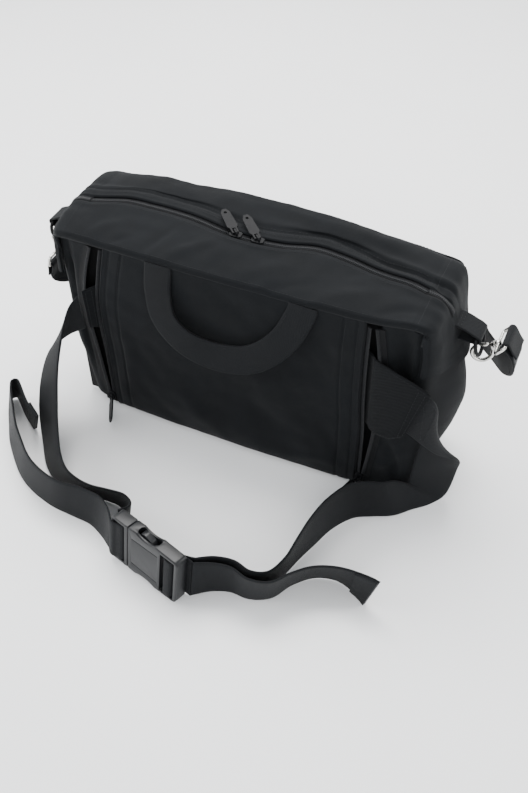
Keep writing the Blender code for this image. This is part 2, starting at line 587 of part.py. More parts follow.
SHOULDER_ROUTE = [
    ((0.2700, 0.0000, 0.2030), (0, 1, 0)), ((0.2735, 0.0020, 0.1880), (0, 1, 0)),
    ((0.2690, 0.0130, 0.1700), (-0.2, 0.95, 0.2)), ((0.2560, 0.0320, 0.1540), (-0.4, 0.75, 0.5)),
    ((0.2400, 0.0560, 0.1460), (-0.3, 0.3, 0.9)), ((0.2240, 0.0760, 0.1420), (0, 0.1, 1)),
    ((0.2000, 0.0880, 0.1320), (0, 0.1, 1)), ((0.1650, 0.0930, 0.1100), (0, 0.15, 1)),
    ((0.1250, 0.0980, 0.0760), (0, 0.25, 1)), ((0.0850, 0.1060, 0.0420), (0, 0.25, 1)),
    ((0.0400, 0.1150, 0.0220), (0, 0.1, 1)), ((-0.0100, 0.1180, 0.0195), (0, 0, 1)),
    ((-0.0500, 0.1180, 0.0195), (0, 0, 1)), ((-0.0900, 0.1180, 0.0195), (0, 0, 1)),
    ((-0.1300, 0.1180, 0.0195), (0, 0, 1)), ((-0.1650, 0.1250, 0.0170), (0, 0, 1)),
    ((-0.1820, 0.1430, 0.0170), (0, 0, 1)), ((-0.1650, 0.1610, 0.0170), (0, 0, 1)),
    ((-0.1200, 0.1660, 0.0170), (0, 0, 1)), ((-0.0400, 0.1640, 0.0170), (0, 0, 1)),
    ((0.0300, 0.1600, 0.0170), (0, 0, 1)), ((0.0700, 0.1660, 0.0170), (0, 0, 1)),
    ((0.0860, 0.1840, 0.0170), (0, 0, 1)), ((0.0700, 0.2020, 0.0170), (0, 0, 1)),
    ((0.0200, 0.2060, 0.0170), (0, 0, 1)), ((-0.0600, 0.2040, 0.0170), (0, 0, 1)),
    ((-0.1300, 0.2060, 0.0170), (0, 0, 1)), ((-0.1850, 0.2000, 0.0180), (0, 0, 1)),
    ((-0.2150, 0.1760, 0.0300), (0, 0, 1)), ((-0.2220, 0.1400, 0.0580), (0, 0.1, 1)),
    ((-0.2190, 0.1050, 0.0880), (0, 0.2, 1)), ((-0.2230, 0.0740, 0.1060), (0, 0.3, 0.95)),
    ((-0.2330, 0.0460, 0.1120), (0.1, 0.5, 0.85)), ((-0.2440, 0.0200, 0.1150), (0.1, 0.85, 0.5)),
    ((-0.2500, 0.0050, 0.1230), (0.03, 0.98, 0.15)), ((-0.2500, 0.0000, 0.1345), (0, 1, 0)),
]


def make_webbing(webbing):
    bm = ribbon(HANDLE_ROUTE, HANDLE_WIDTH, HANDLE_THICK, 0.010)
    add("carry_handle", bm, webbing, shifted(bm, (0, -HALF_DEPTH - 0.0035, 0.231)))
    add("right_belt_wing", webbing_strip(RIGHT_WING_ROUTE, RIGHT_WING_WIDTHS, CLOTH), webbing)
    add("left_belt_wing", webbing_strip(LEFT_WING_ROUTE, LEFT_WING_WIDTHS, CLOTH), webbing)
    add("right_belt_strap", ribbon(RIGHT_STRAP_ROUTE, BELT_WIDTH, BELT_THICK), webbing)
    add("right_belt_tail", ribbon(RIGHT_TAIL_ROUTE, BELT_WIDTH - 0.001, BELT_THICK), webbing)
    add("left_belt_strap", ribbon(LEFT_STRAP_ROUTE, BELT_WIDTH, BELT_THICK), webbing)
    add("shoulder_strap", ribbon(SHOULDER_ROUTE, SHOULDER_WIDTH, SHOULDER_THICK, 0.010), webbing)


# ---------------------------------------------------------------- belt buckle

def buckle_frame(shift=(0, 0, 0)):
    """X along the buckle to its male end, Y across it and up, Z to its back."""
    back = BUCKLE_AXIS.cross(BUCKLE_UP).normalized()
    up = back.cross(BUCKLE_AXIS)
    frame = Matrix((BUCKLE_AXIS, up, back)).transposed().to_4x4()
    return Matrix.Translation(BUCKLE_CENTRE) @ frame @ Matrix.Translation(shift)


MALE_REACH = 0.045
MOUTH_X = 0.022
CAVITY_HALF = 0.0245
CAVITY_DEEP = 0.0045
ARM_ROOT = Vector((0.0205, 0.0180, 0.0))
ARM_HALF = 0.0036
WEB_WINDOW = 0.0262
BAR_FACE = 0.0052


def rounded_end(x_end, half, cut):
    """Corners of a buckle end at x_end, from -Y to +Y."""
    step = cut if x_end > 0 else -cut
    return [(x_end - step, -half), (x_end, -half + abs(cut)), (x_end, half - abs(cut)), (x_end - step, half)]


def make_female(plastic):
    half = BUCKLE_WIDTH / 2
    thick = BUCKLE_THICK / 2
    end = -BUCKLE_LENGTH / 2
    outline = [(MOUTH_X, -half + 0.001), (MOUTH_X, half - 0.001), (MOUTH_X - 0.030, half),
               (end + 0.022, half - 0.0015)] + rounded_end(end, half - 0.0015, 0.004)[::-1] + [
               (end + 0.022, -half + 0.0015), (MOUTH_X - 0.030, -half)]
    obj = add("buckle_female", prism(outline, -thick, thick), plastic, buckle_frame())
    boolean(obj, "DIFFERENCE", "female_cavity",
            box((MOUTH_X - 0.036, -CAVITY_HALF, -CAVITY_DEEP), (MOUTH_X + 0.01, CAVITY_HALF, CAVITY_DEEP)))
    boolean(obj, "DIFFERENCE", "female_side_windows",
            box((-0.012, -half - 0.01, -CAVITY_DEEP), (0.0105, half + 0.01, CAVITY_DEEP)))
    for name, low, high in (("near", end + 0.0035, end + 0.0105), ("far", end + 0.0145, end + 0.0225)):
        boolean(obj, "DIFFERENCE", "female_web_window_" + name,
                box((low, -WEB_WINDOW, -0.02), (high, WEB_WINDOW, 0.02)))
    for name, low, high in (("front", -0.02, -BAR_FACE), ("back", BAR_FACE, 0.02)):
        boolean(obj, "DIFFERENCE", "female_bar_relief_" + name,
                box((end - 0.01, -WEB_WINDOW, low), (end + 0.0225, WEB_WINDOW, high)))
    return obj


def make_male(plastic):
    half = BUCKLE_WIDTH / 2 - 0.0015
    thick = BUCKLE_THICK / 2
    low = MOUTH_X + GAP
    outline = [(low, -half), (MALE_REACH - 0.004, -half), (MALE_REACH, -half + 0.004),
               (MALE_REACH, half - 0.004), (MALE_REACH - 0.004, half), (low, half)]
    frame = buckle_frame()
    obj = add("buckle_male", prism(outline, -thick, thick), plastic, frame)
    for name, a, b in (("near", low + 0.0045, low + 0.0105), ("far", low + 0.0135, low + 0.0195)):
        window = box((a, -WEB_WINDOW, -0.02), (b, WEB_WINDOW, 0.02))
        boolean(obj, "DIFFERENCE", "male_web_window_" + name, window)
    for name, z_low, z_high in (("front", -0.02, -BAR_FACE), ("back", BAR_FACE, 0.02)):
        boolean(obj, "DIFFERENCE", "male_bar_relief_" + name,
                box((low + 0.0045, -WEB_WINDOW, z_low), (MALE_REACH + 0.01, WEB_WINDOW, z_high)))
    guide = box((-0.0120, -0.0042, -0.0030), (low + 0.002, 0.0042, 0.0030))
    boolean(obj, "UNION", "male_guide", guide)
    for name, side in (("upper", 1), ("lower", -1)):
        root = Vector((ARM_ROOT.x, side * ARM_ROOT.y, 0))
        outline = [(0.0014, -0.0024), (0.0014, 0.0024), (-0.0120, 0.0046), (-0.0145, 0.0054),
                   (-0.0150, 0.0105), (-0.0200, 0.0112), (-0.0270, 0.0080), (-0.0310, 0.0040),
                   (-0.0310, 0.0004), (-0.0260, -0.0006)]
        arm = prism([(x, side * y) for x, y in outline], -ARM_HALF, ARM_HALF)
        arm_frame = buckle_frame(root)
        add("release_arm_" + name, arm, plastic, arm_frame, obj)
    return obj


# ---------------------------------------------------------------- shoulder strap hardware

def ring_points():
    """A D outline in the ring's plane: its straight bar on the origin along Y, its bow reaching to -Z."""
    half = RING_WIDTH / 2 - RING_WIRE
    corner = 0.004
    drop = RING_DROP - RING_WIRE
    points = [(0, half - corner, 0), (0, -half + corner, 0)]
    for k in range(1, 4):
        a = math.pi / 2 * k / 3
        points.append((0, -half + corner - corner * math.sin(a), -corner + corner * math.cos(a)))
    for k in range(1, 12):
        a = math.pi * k / 12
        points.append((0, -half * math.cos(a), -corner - (drop - corner) * math.sin(a)))
    for k in range(0, 3):
        a = math.pi / 2 * (1 - k / 3)
        points.append((0, half - corner + corner * math.sin(a), -corner + corner * math.cos(a)))
    return points


def mirrored(point, side):
    return Vector((side * point[0], point[1], point[2]))


def make_hardware(webbing, metal, ring_metal):
    for name, side in (("left", -1), ("right", 1)):
        tab = [(0.2085, 0.2200), (0.2200, 0.2175), (0.2320, 0.2125), (0.2378, 0.2090), (0.2355, 0.2042),
               (0.2220, 0.2045), (0.2085, 0.2060)]
        route = [((side * x, 0, z), (0, side, 0)) for x, z in tab]
        add(name + "_ring_tab", ribbon(route, TAB_WIDTH, TAB_THICK, 0.003), webbing)

        bar = mirrored(RING_BAR, side)
        hang = (mirrored(HOOK_CENTRE, side) - bar).normalized()
        flat = Vector((0, 1, 0)).cross(-hang).normalized()
        frame = Matrix.Translation(bar) @ Matrix((flat, (0, 1, 0), -hang)).transposed().to_4x4()
        smooth(add("d_ring_" + name, wire(ring_points(), RING_WIRE, 8, True), ring_metal, frame))

        centre = mirrored(HOOK_CENTRE, side)
        axis = (HOOK_EYES[side] - centre).normalized()
        across = Vector((0, side, 0))
        lateral = across.cross(axis).normalized()
        frame = Matrix.Translation(centre) @ Matrix((lateral, across, axis)).transposed().to_4x4()
        path = [(0.0000, 0, 0.0175), (0.0030, 0, 0.0145), (0.0068, 0, 0.0100), (0.0084, 0, 0.0050)]
        path += [(HOOK_RADIUS * math.cos(a), 0, -HOOK_RADIUS * math.sin(a))
                 for a in (math.pi * k / 12 for k in range(13))]
        path += [(-0.0083, 0, 0.0036)]
        hook = smooth(add("snap_hook_" + name, wire(path, HOOK_WIRE, 10), metal, frame))
        boolean(hook, "UNION", "barrel_" + name, rod(BARREL_LOW, BARREL_HIGH, BARREL_RADIUS))

        tip = GATE_TIP - GATE_PIVOT
        gate_axis = (-tip).normalized()
        gate_frame = frame @ Matrix.Translation(GATE_PIVOT)
        gate = box((-0.0008, -0.0021, -tip.length), (0.0008, 0.0021, 0.0006))
        turn = Vector((0, 0, 1)).rotation_difference(gate_axis).to_matrix().to_4x4()
        bmesh.ops.transform(gate, matrix=turn, verts=gate.verts)
        add("snap_gate_" + name, gate, metal, gate_frame, hook)

        reach = (HOOK_EYES[side] - centre).length
        near, far = EYE_HALF_WIDTH - 0.004, EYE_HALF_WIDTH
        eye = [(0, near, reach), (0, 0, reach), (0, -near, reach), (0, -far, reach - 0.004),
               (0, -far, EYE_LOW + 0.004), (0, -near, EYE_LOW), (0, 0, EYE_LOW), (0, near, EYE_LOW),
               (0, far, EYE_LOW + 0.004), (0, far, reach - 0.004)]
        ring = smooth(add("snap_eye_" + name, wire(eye, 0.0017, 8, True), metal, frame))
        boolean(ring, "UNION", "eye_boss_" + name, rod(BARREL_HIGH + GAP, EYE_LOW + 0.002, 0.0036, 12))


SLIDE_PLACE = Vector((-0.0500, 0.1180, 0.0195))


def make_strap_slide(metal):
    half = SHOULDER_WIDTH / 2
    rail = 0.0032
    clear = 0.0006
    long = 0.0110
    frame = Matrix.Translation(SLIDE_PLACE)
    bar = 0.0028
    low, high = half + clear, half + clear + bar
    obj = add("strap_slide", box((-long, -rail, low), (long, rail, high)), metal, frame)
    boolean(obj, "UNION", "slide_low_rail", box((-long, -rail, -high), (long, rail, -low)))
    for name, x, side in (("left", -long, 1), ("middle", -bar / 2, -1), ("right", long - bar, 1)):
        near, far = sorted((side * bar / 2, side * rail))
        reach = half + 0.002
        boolean(obj, "UNION", "slide_bar_" + name, box((x, near, -reach), (x + bar, far, reach)))


def main():
    clear_scene()
    cloth = make_material("bag_cloth", (0.035, 0.036, 0.040), 0.85)
    board = make_material("stiff_board", (0.05, 0.05, 0.05), 0.7)
    webbing = make_material("black_webbing", (0.022, 0.022, 0.025), 0.8)
    tape = make_material("zip_tape", (0.03, 0.03, 0.034), 0.6)
    zip_metal = make_material("dark_zip_metal", (0.05, 0.05, 0.055), 0.35, 1.0)
    nickel = make_material("nickel", (0.62, 0.62, 0.60), 0.25, 1.0)
    plastic = make_material("black_acetal", (0.03, 0.03, 0.034), 0.35)

    make_shell(cloth, board)
    make_sleeve(cloth)
    make_top_ends(cloth)
    flaps = make_flaps(cloth)
    make_main_zip(flaps, tape)
    make_main_sliders(flaps, zip_metal)
    make_sleeve_zips(tape, zip_metal)
    make_webbing(webbing)
    make_female(plastic)
    male = make_male(plastic)
    tail = ribbon(LEFT_TAIL_ROUTE, BELT_WIDTH - 0.001, BELT_THICK)
    bmesh.ops.transform(tail, matrix=WORLD["buckle_male"].inverted(), verts=tail.verts)
    add("left_belt_tail", tail, webbing, WORLD["buckle_male"], male)
    make_hardware(webbing, nickel, zip_metal)
    make_strap_slide(plastic)


main()
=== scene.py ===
"""Looks of the flight bag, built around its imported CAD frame. Metres; +X to the bag's right, +Y to its back."""
import math

import bmesh
import bpy
import numpy as np
from mathutils import Matrix, Vector, noise


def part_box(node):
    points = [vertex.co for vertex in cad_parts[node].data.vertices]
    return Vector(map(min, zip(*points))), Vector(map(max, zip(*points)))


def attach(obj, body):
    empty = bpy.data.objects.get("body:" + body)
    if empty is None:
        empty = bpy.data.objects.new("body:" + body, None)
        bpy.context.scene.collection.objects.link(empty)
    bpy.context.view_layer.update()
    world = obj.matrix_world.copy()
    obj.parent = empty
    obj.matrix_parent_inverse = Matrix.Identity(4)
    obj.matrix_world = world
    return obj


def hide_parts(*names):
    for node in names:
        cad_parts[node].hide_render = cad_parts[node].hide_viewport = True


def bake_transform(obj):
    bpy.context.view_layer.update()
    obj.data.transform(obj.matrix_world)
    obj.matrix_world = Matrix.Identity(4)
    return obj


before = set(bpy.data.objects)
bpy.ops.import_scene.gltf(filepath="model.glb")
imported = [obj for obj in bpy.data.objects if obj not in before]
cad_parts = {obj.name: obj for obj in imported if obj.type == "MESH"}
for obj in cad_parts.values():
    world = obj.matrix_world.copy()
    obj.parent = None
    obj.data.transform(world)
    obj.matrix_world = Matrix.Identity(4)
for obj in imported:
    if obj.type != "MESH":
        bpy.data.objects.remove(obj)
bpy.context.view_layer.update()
SIDES = (("left", -1), ("right", 1))


def placed(name, data):
    obj = bpy.data.objects.new(name, data)
    bpy.context.scene.collection.objects.link(obj)
    return obj


# ---------------------------------------------------------------- camera and light

CAMERA_PLACE = Vector((0.3238, -0.694, 0.8234))
CAMERA_TARGET = Vector((0.009, 0.0, 0.026))
CAMERA_ROLL = math.radians(-0.5)
CAMERA_LENS = 43.4
# Name, place, target, size, watts, colour
LAMPS = (
    ("key_above", (-0.35, 0.65, 1.6), (0, 0, 0.15), (1.4, 1.0), 62, (1.0, 0.99, 0.98)),
    ("fill_left", (-1.5, -0.7, 0.9), (0, -0.05, 0.1), (1.1, 1.1), 22, (0.97, 0.985, 1.0)),
    ("fill_front", (0.7, -1.7, 1.2), (0, -0.1, 0.05), (1.4, 1.0), 20, (1.0, 1.0, 1.0)),
    ("rim_right", (1.5, 0.6, 0.7), (0.1, 0, 0.12), (0.8, 0.8), 12, (1.0, 1.0, 1.0)),
)
SKY_RGB = (0.86, 0.88, 0.9)
SKY_STRENGTH = 1.15


def make_camera():
    data = bpy.data.cameras.new("camera")
    data.lens, data.sensor_width, data.clip_start = CAMERA_LENS, 36.0, 0.02
    cam = placed("camera", data)
    aim = (CAMERA_TARGET - CAMERA_PLACE).to_track_quat("-Z", "Y").to_matrix().to_4x4()
    cam.matrix_world = Matrix.Translation(CAMERA_PLACE) @ aim @ Matrix.Rotation(CAMERA_ROLL, 4, "Z")
    bpy.context.scene.camera = cam


def make_light():
    for name, place, target, size, watts, colour in LAMPS:
        data = bpy.data.lights.new(name, "AREA")
        data.shape, data.energy, data.color = "RECTANGLE", watts, colour
        data.size, data.size_y = size
        lamp = placed(name, data)
        lamp.location = place
        lamp.rotation_mode = "QUATERNION"
        lamp.rotation_quaternion = (Vector(target) - Vector(place)).to_track_quat("-Z", "Y")
    world = bpy.data.worlds.new("studio")
    bpy.context.scene.world = world
    world.use_nodes = True
    back = world.node_tree.nodes["Background"]
    back.inputs["Color"].default_value = (*SKY_RGB, 1)
    back.inputs["Strength"].default_value = SKY_STRENGTH


# ---------------------------------------------------------------- node materials

class Paint:
    """A Principled material, and short calls for the nodes that feed it."""

    def __init__(self, name, roughness, metallic=0.0, sheen=0.0, specular=0.5):
        self.mat = bpy.data.materials.new(name)
        self.mat.use_nodes = True
        self.tree = self.mat.node_tree
        self.shader = self.tree.nodes["Principled BSDF"]
        self.fill(self.shader, {"Roughness": roughness, "Metallic": metallic, "Sheen Weight": sheen,
                                "Sheen Roughness": 0.45, "Specular IOR Level": specular})

    def fill(self, node, inputs):
        """Joins each input to the socket it's given, or sets it to the constant."""
        for key, value in inputs.items():
            if isinstance(value, bpy.types.NodeSocket):
                self.tree.links.new(value, node.inputs[key])
            else:
                node.inputs[key].default_value = value

    def node(self, kind, inputs, out=0, **settings):
        made = self.tree.nodes.new("ShaderNode" + kind)
        for key, value in settings.items():
            setattr(made, key, value)
        self.fill(made, inputs)
        return made.outputs[out]

    def coords(self, kind="Object"):
        return self.node("TexCoord", {}, kind)

    def mapped(self, vector, turn=(0, 0, 0), scale=(1, 1, 1)):
        return self.node("Mapping", {"Vector": vector, "Rotation": turn, "Scale": scale})

    def noise(self, vector, scale, detail, roughness):
        return self.node("TexNoise", {"Vector": vector, "Scale": scale, "Detail": detail, "Roughness": roughness})

    def bands(self, vector, pitch, wobble, direction="X"):
        """Waves one pitch apart, where the vector is in metres."""
        inputs = {"Vector": vector, "Scale": math.pi / 10 / pitch, "Distortion": wobble, "Detail": 1.0,
                  "Detail Scale": 0.6}
        return self.node("TexWave", inputs, "Fac", bands_direction=direction)

    def times(self, a, b):
        return self.node("Math", {0: a, 1: b}, operation="MULTIPLY")

    def plus(self, a, b):
        return self.node("Math", {0: a, 1: b}, operation="ADD")

    def spread(self, value, low, high):
        return self.node("MapRange", {"Value": value, "To Min": low, "To Max": high})

    def colour(self, factor, stops):
        made = self.tree.nodes.new("ShaderNodeValToRGB")
        ramp = made.color_ramp
        for element, (place, rgb) in zip(ramp.elements, (stops[0], stops[-1])):
            element.position, element.color = place, (*rgb, 1)
        for place, rgb in stops[1:-1]:
            ramp.elements.new(place).color = (*rgb, 1)
        self.fill(made, {"Fac": factor})
        self.fill(self.shader, {"Base Color": made.outputs["Color"]})

    def rough(self, value, low, high):
        self.fill(self.shader, {"Roughness": self.spread(value, low, high)})

    def bump(self, height, distance, strength, **under):
        normal = self.node("Bump", {"Height": height, "Distance": distance, "Strength": strength, **under})
        self.fill(self.shader, {"Normal": normal})
        return normal


def shades(rgb, *stops):
    """Colour stops at places from 0 to 1, each the colour made darker or lighter."""
    return [(place, tuple(c * k for c in rgb)) for place, k in stops]


def woven(name, rgb, pitch, twill=True, depth=0.00022, roughness=0.74):
    """Cloth: crossed threads one pitch apart, a lean to the weave, and soft patches of wear."""
    p = Paint(name, roughness, sheen=0.03, specular=0.1)
    flat, solid = p.coords("UV"), p.coords()
    ribs = p.bands(p.mapped(flat, (0, 0, math.radians(52 if twill else 0))), pitch, 0.35)
    threads = p.bands(p.mapped(flat, (0, 0, math.radians(-38 if twill else 90))), pitch * 0.62, 0.5)
    weave = p.times(ribs, p.spread(threads, 0.55, 1.0))
    grain = p.noise(solid, 900.0, 3.0, 0.6)
    worn = p.noise(solid, 14.0, 4.0, 0.62)
    p.colour(p.plus(p.times(worn, 0.55), p.times(weave, 0.45)), shades(rgb, (0.22, 0.55), (0.5, 1), (0.85, 1.55)))
    p.rough(worn, roughness - 0.1, roughness + 0.14)
    slack = p.bump(p.noise(solid, 60.0, 3.0, 0.55), 0.0012, 0.35)
    p.bump(p.plus(weave, p.times(grain, 0.45)), depth, 0.85, Normal=slack)
    return p.mat


def webbing_look(name, rgb):
    """Belt webbing: ribs across it, a herringbone lean, and lengthwise threads."""
    p = Paint(name, 0.62, sheen=0.03, specular=0.12)
    flat = p.coords("UV")
    ribs = p.bands(flat, 0.00125, 0.25)
    lean = p.bands(p.mapped(flat, (0, 0, math.radians(58))), 0.0016, 0.3)
    warp = p.bands(flat, 0.00095, 0.3, "Y")
    weave = p.plus(p.times(p.spread(ribs, 0.35, 1.0), p.spread(lean, 0.5, 1.0)), p.times(warp, 0.35))
    worn = p.noise(p.coords(), 22.0, 4.0, 0.6)
    p.colour(p.plus(p.times(worn, 0.5), p.times(weave, 0.4)), shades(rgb, (0.2, 0.5), (0.5, 1), (0.85, 1.6)))
    p.rough(worn, 0.52, 0.74)
    p.bump(weave, 0.0003, 0.9)
    return p.mat


def moulded(name, rgb, roughness, grain=0.00004):
    """Satin moulded plastic with a fine spark-eroded grain and rubbed patches."""
    p = Paint(name, roughness, specular=0.32)
    where = p.coords()
    worn = p.noise(where, 45.0, 4.0, 0.6)
    p.colour(worn, shades(rgb, (0.25, 0.8), (0.55, 1), (0.85, 1.25)))
    p.rough(worn, roughness - 0.08, roughness + 0.12)
    p.bump(p.noise(where, 2600.0, 2.0, 0.5), grain, 0.7)
    return p.mat


def metal_look(name, rgb, roughness, metallic=1.0, specular=0.5):
    """Plated metal with fine rubbing marks and duller hollows."""
    p = Paint(name, roughness, metallic, specular=specular)
    where = p.coords()
    rub = p.noise(p.mapped(where, scale=(1, 1, 6)), 420.0, 3.0, 0.6)
    worn = p.noise(where, 90.0, 4.0, 0.65)
    p.colour(worn, shades(rgb, (0.25, 0.6), (0.5, 1), (0.8, 1.15)))
    p.rough(p.times(rub, worn), roughness - 0.04, roughness + 0.35)
    p.bump(rub, 0.00003, 0.5)
    return p.mat


def thread_look(name, rgb):
    p = Paint(name, 0.6, sheen=0.03, specular=0.15)
    twist = p.bands(p.mapped(p.coords(), (0.6, 0.4, 0.8)), 0.0009, 0.3)
    p.colour(twist, shades(rgb, (0.1, 0.6), (0.9, 1.4)))
    p.bump(twist, 0.00008, 0.8)
    return p.mat


def floor_look():
    p = Paint("floor_paper", 0.9, specular=0.2)
    mottle = p.noise(p.coords(), 3.0, 3.0, 0.5)
    p.colour(mottle, [(0.3, (0.86, 0.865, 0.87)), (0.7, (0.89, 0.895, 0.9))])
    return p.mat


LOOKS = {
    "cloth": woven("nylon_cloth", (0.0042, 0.005, 0.0061), 0.00105),
    "lining": woven("lining_cloth", (0.0035, 0.0036, 0.004), 0.0008, False, roughness=0.6),
    "wing": woven("wing_twill", (0.004, 0.0046, 0.0055), 0.0016, depth=0.00035),
    "webbing": webbing_look("belt_webbing", (0.004, 0.0046, 0.0056)),
    "tape": woven("zip_tape_cloth", (0.0034, 0.0037, 0.0045), 0.0007, False, 0.00015, 0.6),
    "coil": moulded("zip_coil_plastic", (0.0095, 0.0102, 0.0118), 0.42),
    "plastic": moulded("black_buckle_plastic", (0.0066, 0.0072, 0.0084), 0.36),
    "nickel": metal_look("nickel_plate", (0.62, 0.61, 0.58), 0.2),
    "zip_metal": metal_look("dark_zip_metal", (0.006, 0.0063, 0.0072), 0.5, 0.0, 0.12),
    "board": moulded("stiff_board_skin", (0.007, 0.007, 0.0075), 0.55, 0.00008),
    "thread": thread_look("black_thread", (0.0075, 0.0082, 0.0095)),
}
KEPT_LOOKS = {"strap_slide": "plastic"}
KEPT_LOOKS.update({node: "zip_metal" for node in (
    "main_slider_left", "main_slider_right", "main_pull_left", "main_pull_right",
    "left_zip_slider", "right_zip_slider", "left_zip_pull", "right_zip_pull")})


def look_on_cad():
    for node, look in KEPT_LOOKS.items():
        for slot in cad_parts[node].material_slots:
            slot.material = LOOKS[look]


# ---------------------------------------------------------------- curves and fields

def hermite(knots, values):
    """A smooth function of one number through the given values."""
    k, v = np.asarray(knots, float), np.asarray(values, float)
    slope = np.gradient(v, k, axis=0)

    def at(t):
        t = np.clip(np.asarray(t, float), k[0], k[-1])
        i = np.clip(np.searchsorted(k, t, side="right") - 1, 0, len(k) - 2)
        h = k[i + 1] - k[i]
        s = (t - k[i]) / h
        if v.ndim > 1:
            h, s = h[..., None], s[..., None]
        a, b = (1 + 2 * s) * (1 - s) ** 2, s * (1 - s) ** 2
        c, d = s ** 2 * (3 - 2 * s), s ** 2 * (s - 1)
        return a * v[i] + b * h * slope[i] + c * v[i + 1] + d * h * slope[i + 1]

    return at


def catmull(a, b, c, d, t):
    return 0.5 * (2 * b + (c - a) * t + (2 * a - 5 * b + 4 * c - d) * t ** 2 + (3 * b - a - 3 * c + d) * t ** 3)


def hump(t):
    return np.sin(np.pi * np.clip(t, 0, 1))


def ease(t):
    t = np.clip(t, 0, 1)
    return t * t * (3 - 2 * t)


def unit(rows):
    return rows / np.linalg.norm(rows, axis=1)[:, None]


def distances(points):
    """How far along a line of points each one is."""
    return np.concatenate(([0], np.cumsum(np.linalg.norm(np.diff(points, axis=0), axis=1))))


def along_rows(s, run, rows):
    return np.array([np.interp(s, run, rows[:, k]) for k in range(3)])


def rough_field(points, scale, seed):
    """Smooth noise from -1 to 1 at each point, lumps about one scale across."""
    shift = Vector((seed * 3.7, seed * 1.3, seed * 5.1))
    found = [noise.noise(Vector(p) / scale + shift) for p in np.asarray(points, float).reshape(-1, 3)]
    return np.array(found).reshape(np.asarray(points).shape[:-1])


def crease(x, y, line, width, depth):
    """A groove, or a ridge for a negative depth, along a line of (x, y) points, which fades at its ends."""
    line = np.asarray(line, float)
    best = np.full(np.shape(x), 1e9)
    along = np.zeros(np.shape(x))
    total = np.sum(np.hypot(*(line[1:] - line[:-1]).T))
    run = 0.0
    for a, b in zip(line, line[1:]):
        d = b - a
        size = math.hypot(*d)
        t = np.clip(((x - a[0]) * d[0] + (y - a[1]) * d[1]) / size ** 2, 0, 1)
        off = np.hypot(x - a[0] - t * d[0], y - a[1] - t * d[1])
        nearer = off < best
        best = np.where(nearer, off, best)
        along = np.where(nearer, (run + t * size) / total, along)
        run += size
    return -depth * np.exp(-(best / width) ** 2) * hump(0.08 + 0.84 * along)


def folds(x, y, creases, share=1.0):
    lift = np.zeros(np.shape(x))
    for line, width, depth in creases:
        lift += crease(x, y, line, width, depth) * share
    return lift


def relief(x, y, creases, big, small, seed):
    """Folds, and the slack between them: a big and a small noise, each (height, scale)."""
    flat = np.stack((x, y, np.zeros(np.shape(x))), -1)
    return (folds(x, y, creases) + big[0] * rough_field(flat, big[1], seed)
            + small[0] * rough_field(flat, small[1], seed + 1))


# ---------------------------------------------------------------- mesh building

def smoothed(obj, angle):
    obj.data.shade_smooth()
    obj.data.set_sharp_from_angle(angle=math.radians(angle))
    return obj


def new_piece(name, verts, faces, look, uvs=None, sharp=40):
    """A mesh object; uvs has one pair of metres for each point; sharp is in degrees, and 0 leaves it faceted."""
    mesh = bpy.data.meshes.new(name)
    mesh.from_pydata([tuple(map(float, v)) for v in verts], [], faces)
    mesh.materials.append(LOOKS[look])
    if uvs is not None:
        layer = mesh.uv_layers.new(name="flat")
        index = np.empty(len(mesh.loops), np.int32)
        mesh.loops.foreach_get("vertex_index", index)
        layer.data.foreach_set("uv", np.asarray(uvs, np.float32)[index].ravel())
    bm = bmesh.new()
    bm.from_mesh(mesh)
    bmesh.ops.recalc_face_normals(bm, faces=bm.faces)
    bm.to_mesh(mesh)
    bm.free()
    obj = placed(name, mesh)
    return smoothed(obj, sharp) if sharp else obj


def changed(obj, kind, **settings):
    """The object with a modifier made part of its mesh."""
    mod = obj.modifiers.new(kind.lower(), kind)
    for key, value in settings.items():
        setattr(mod, key, value)
    bpy.context.view_layer.update()
    mesh = bpy.data.meshes.new_from_object(obj.evaluated_get(bpy.context.evaluated_depsgraph_get()))
    obj.modifiers.clear()
    old, obj.data = obj.data, mesh
    mesh.name = old.name
    bpy.data.meshes.remove(old)
    return obj


def finished(obj, body, slot, *nodes, blend=None):
    """The piece moves with its body, or, given a blend, has its place baked into its mesh; it stands for the named CAD
    nodes.
    """
    if blend:
        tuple(blend[0])
        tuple(blend[1])
        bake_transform(obj)
    else:
        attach(obj, body)
    if nodes:
        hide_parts(*nodes)
    return obj


def grid_piece(name, points, look, thick, out=None, closed=False, offset=-1.0):
    """Cloth over a grid of points [i][j], its outer face towards out: a direction or a function of the point."""
    points = np.asarray(points, float)
    n, m = points.shape[:2]
    faces = [(i * m + j, (i + 1) % n * m + j, (i + 1) % n * m + j + 1, i * m + j + 1)
             for i in range(n if closed else n - 1) for j in range(m - 1)]
    u, v = (np.concatenate(([0], np.cumsum(np.linalg.norm(np.diff(points, axis=a), axis=2).mean(1 - a))))
            for a in (0, 1))
    uvs = np.stack(np.meshgrid(u, v, indexing="ij"), -1).reshape(-1, 2)
    obj = new_piece(name, points.reshape(-1, 3), faces, look, uvs, sharp=60)
    smoothed(changed(obj, "SOLIDIFY", thickness=thick, offset=offset, use_even_offset=False), 50)
    if out is not None:
        at = out if callable(out) else lambda p: Vector(out)
        if sum(poly.normal.dot(at(poly.center)) * poly.area for poly in obj.data.polygons) < 0:
            obj.data.flip_normals()
    return obj


def skin(rings, sides, base=0, closed=False):
    """Faces over rings of points in order, with flat ends unless they close on themselves."""
    faces = []
    for i in range(rings if closed else rings - 1):
        low, high = base + i * sides, base + (i + 1) % rings * sides
        for k in range(sides):
            n = (k + 1) % sides
            faces.append((low + k, low + n, high + n, high + k))
    if not closed:
        last = base + (rings - 1) * sides
        faces += [tuple(range(base, base + sides))[::-1], tuple(range(last, last + sides))]
    return faces


# ---------------------------------------------------------------- stitches

STITCHES = {}
STITCH_PITCH, STITCH_LENGTH = 0.0036, 0.0026


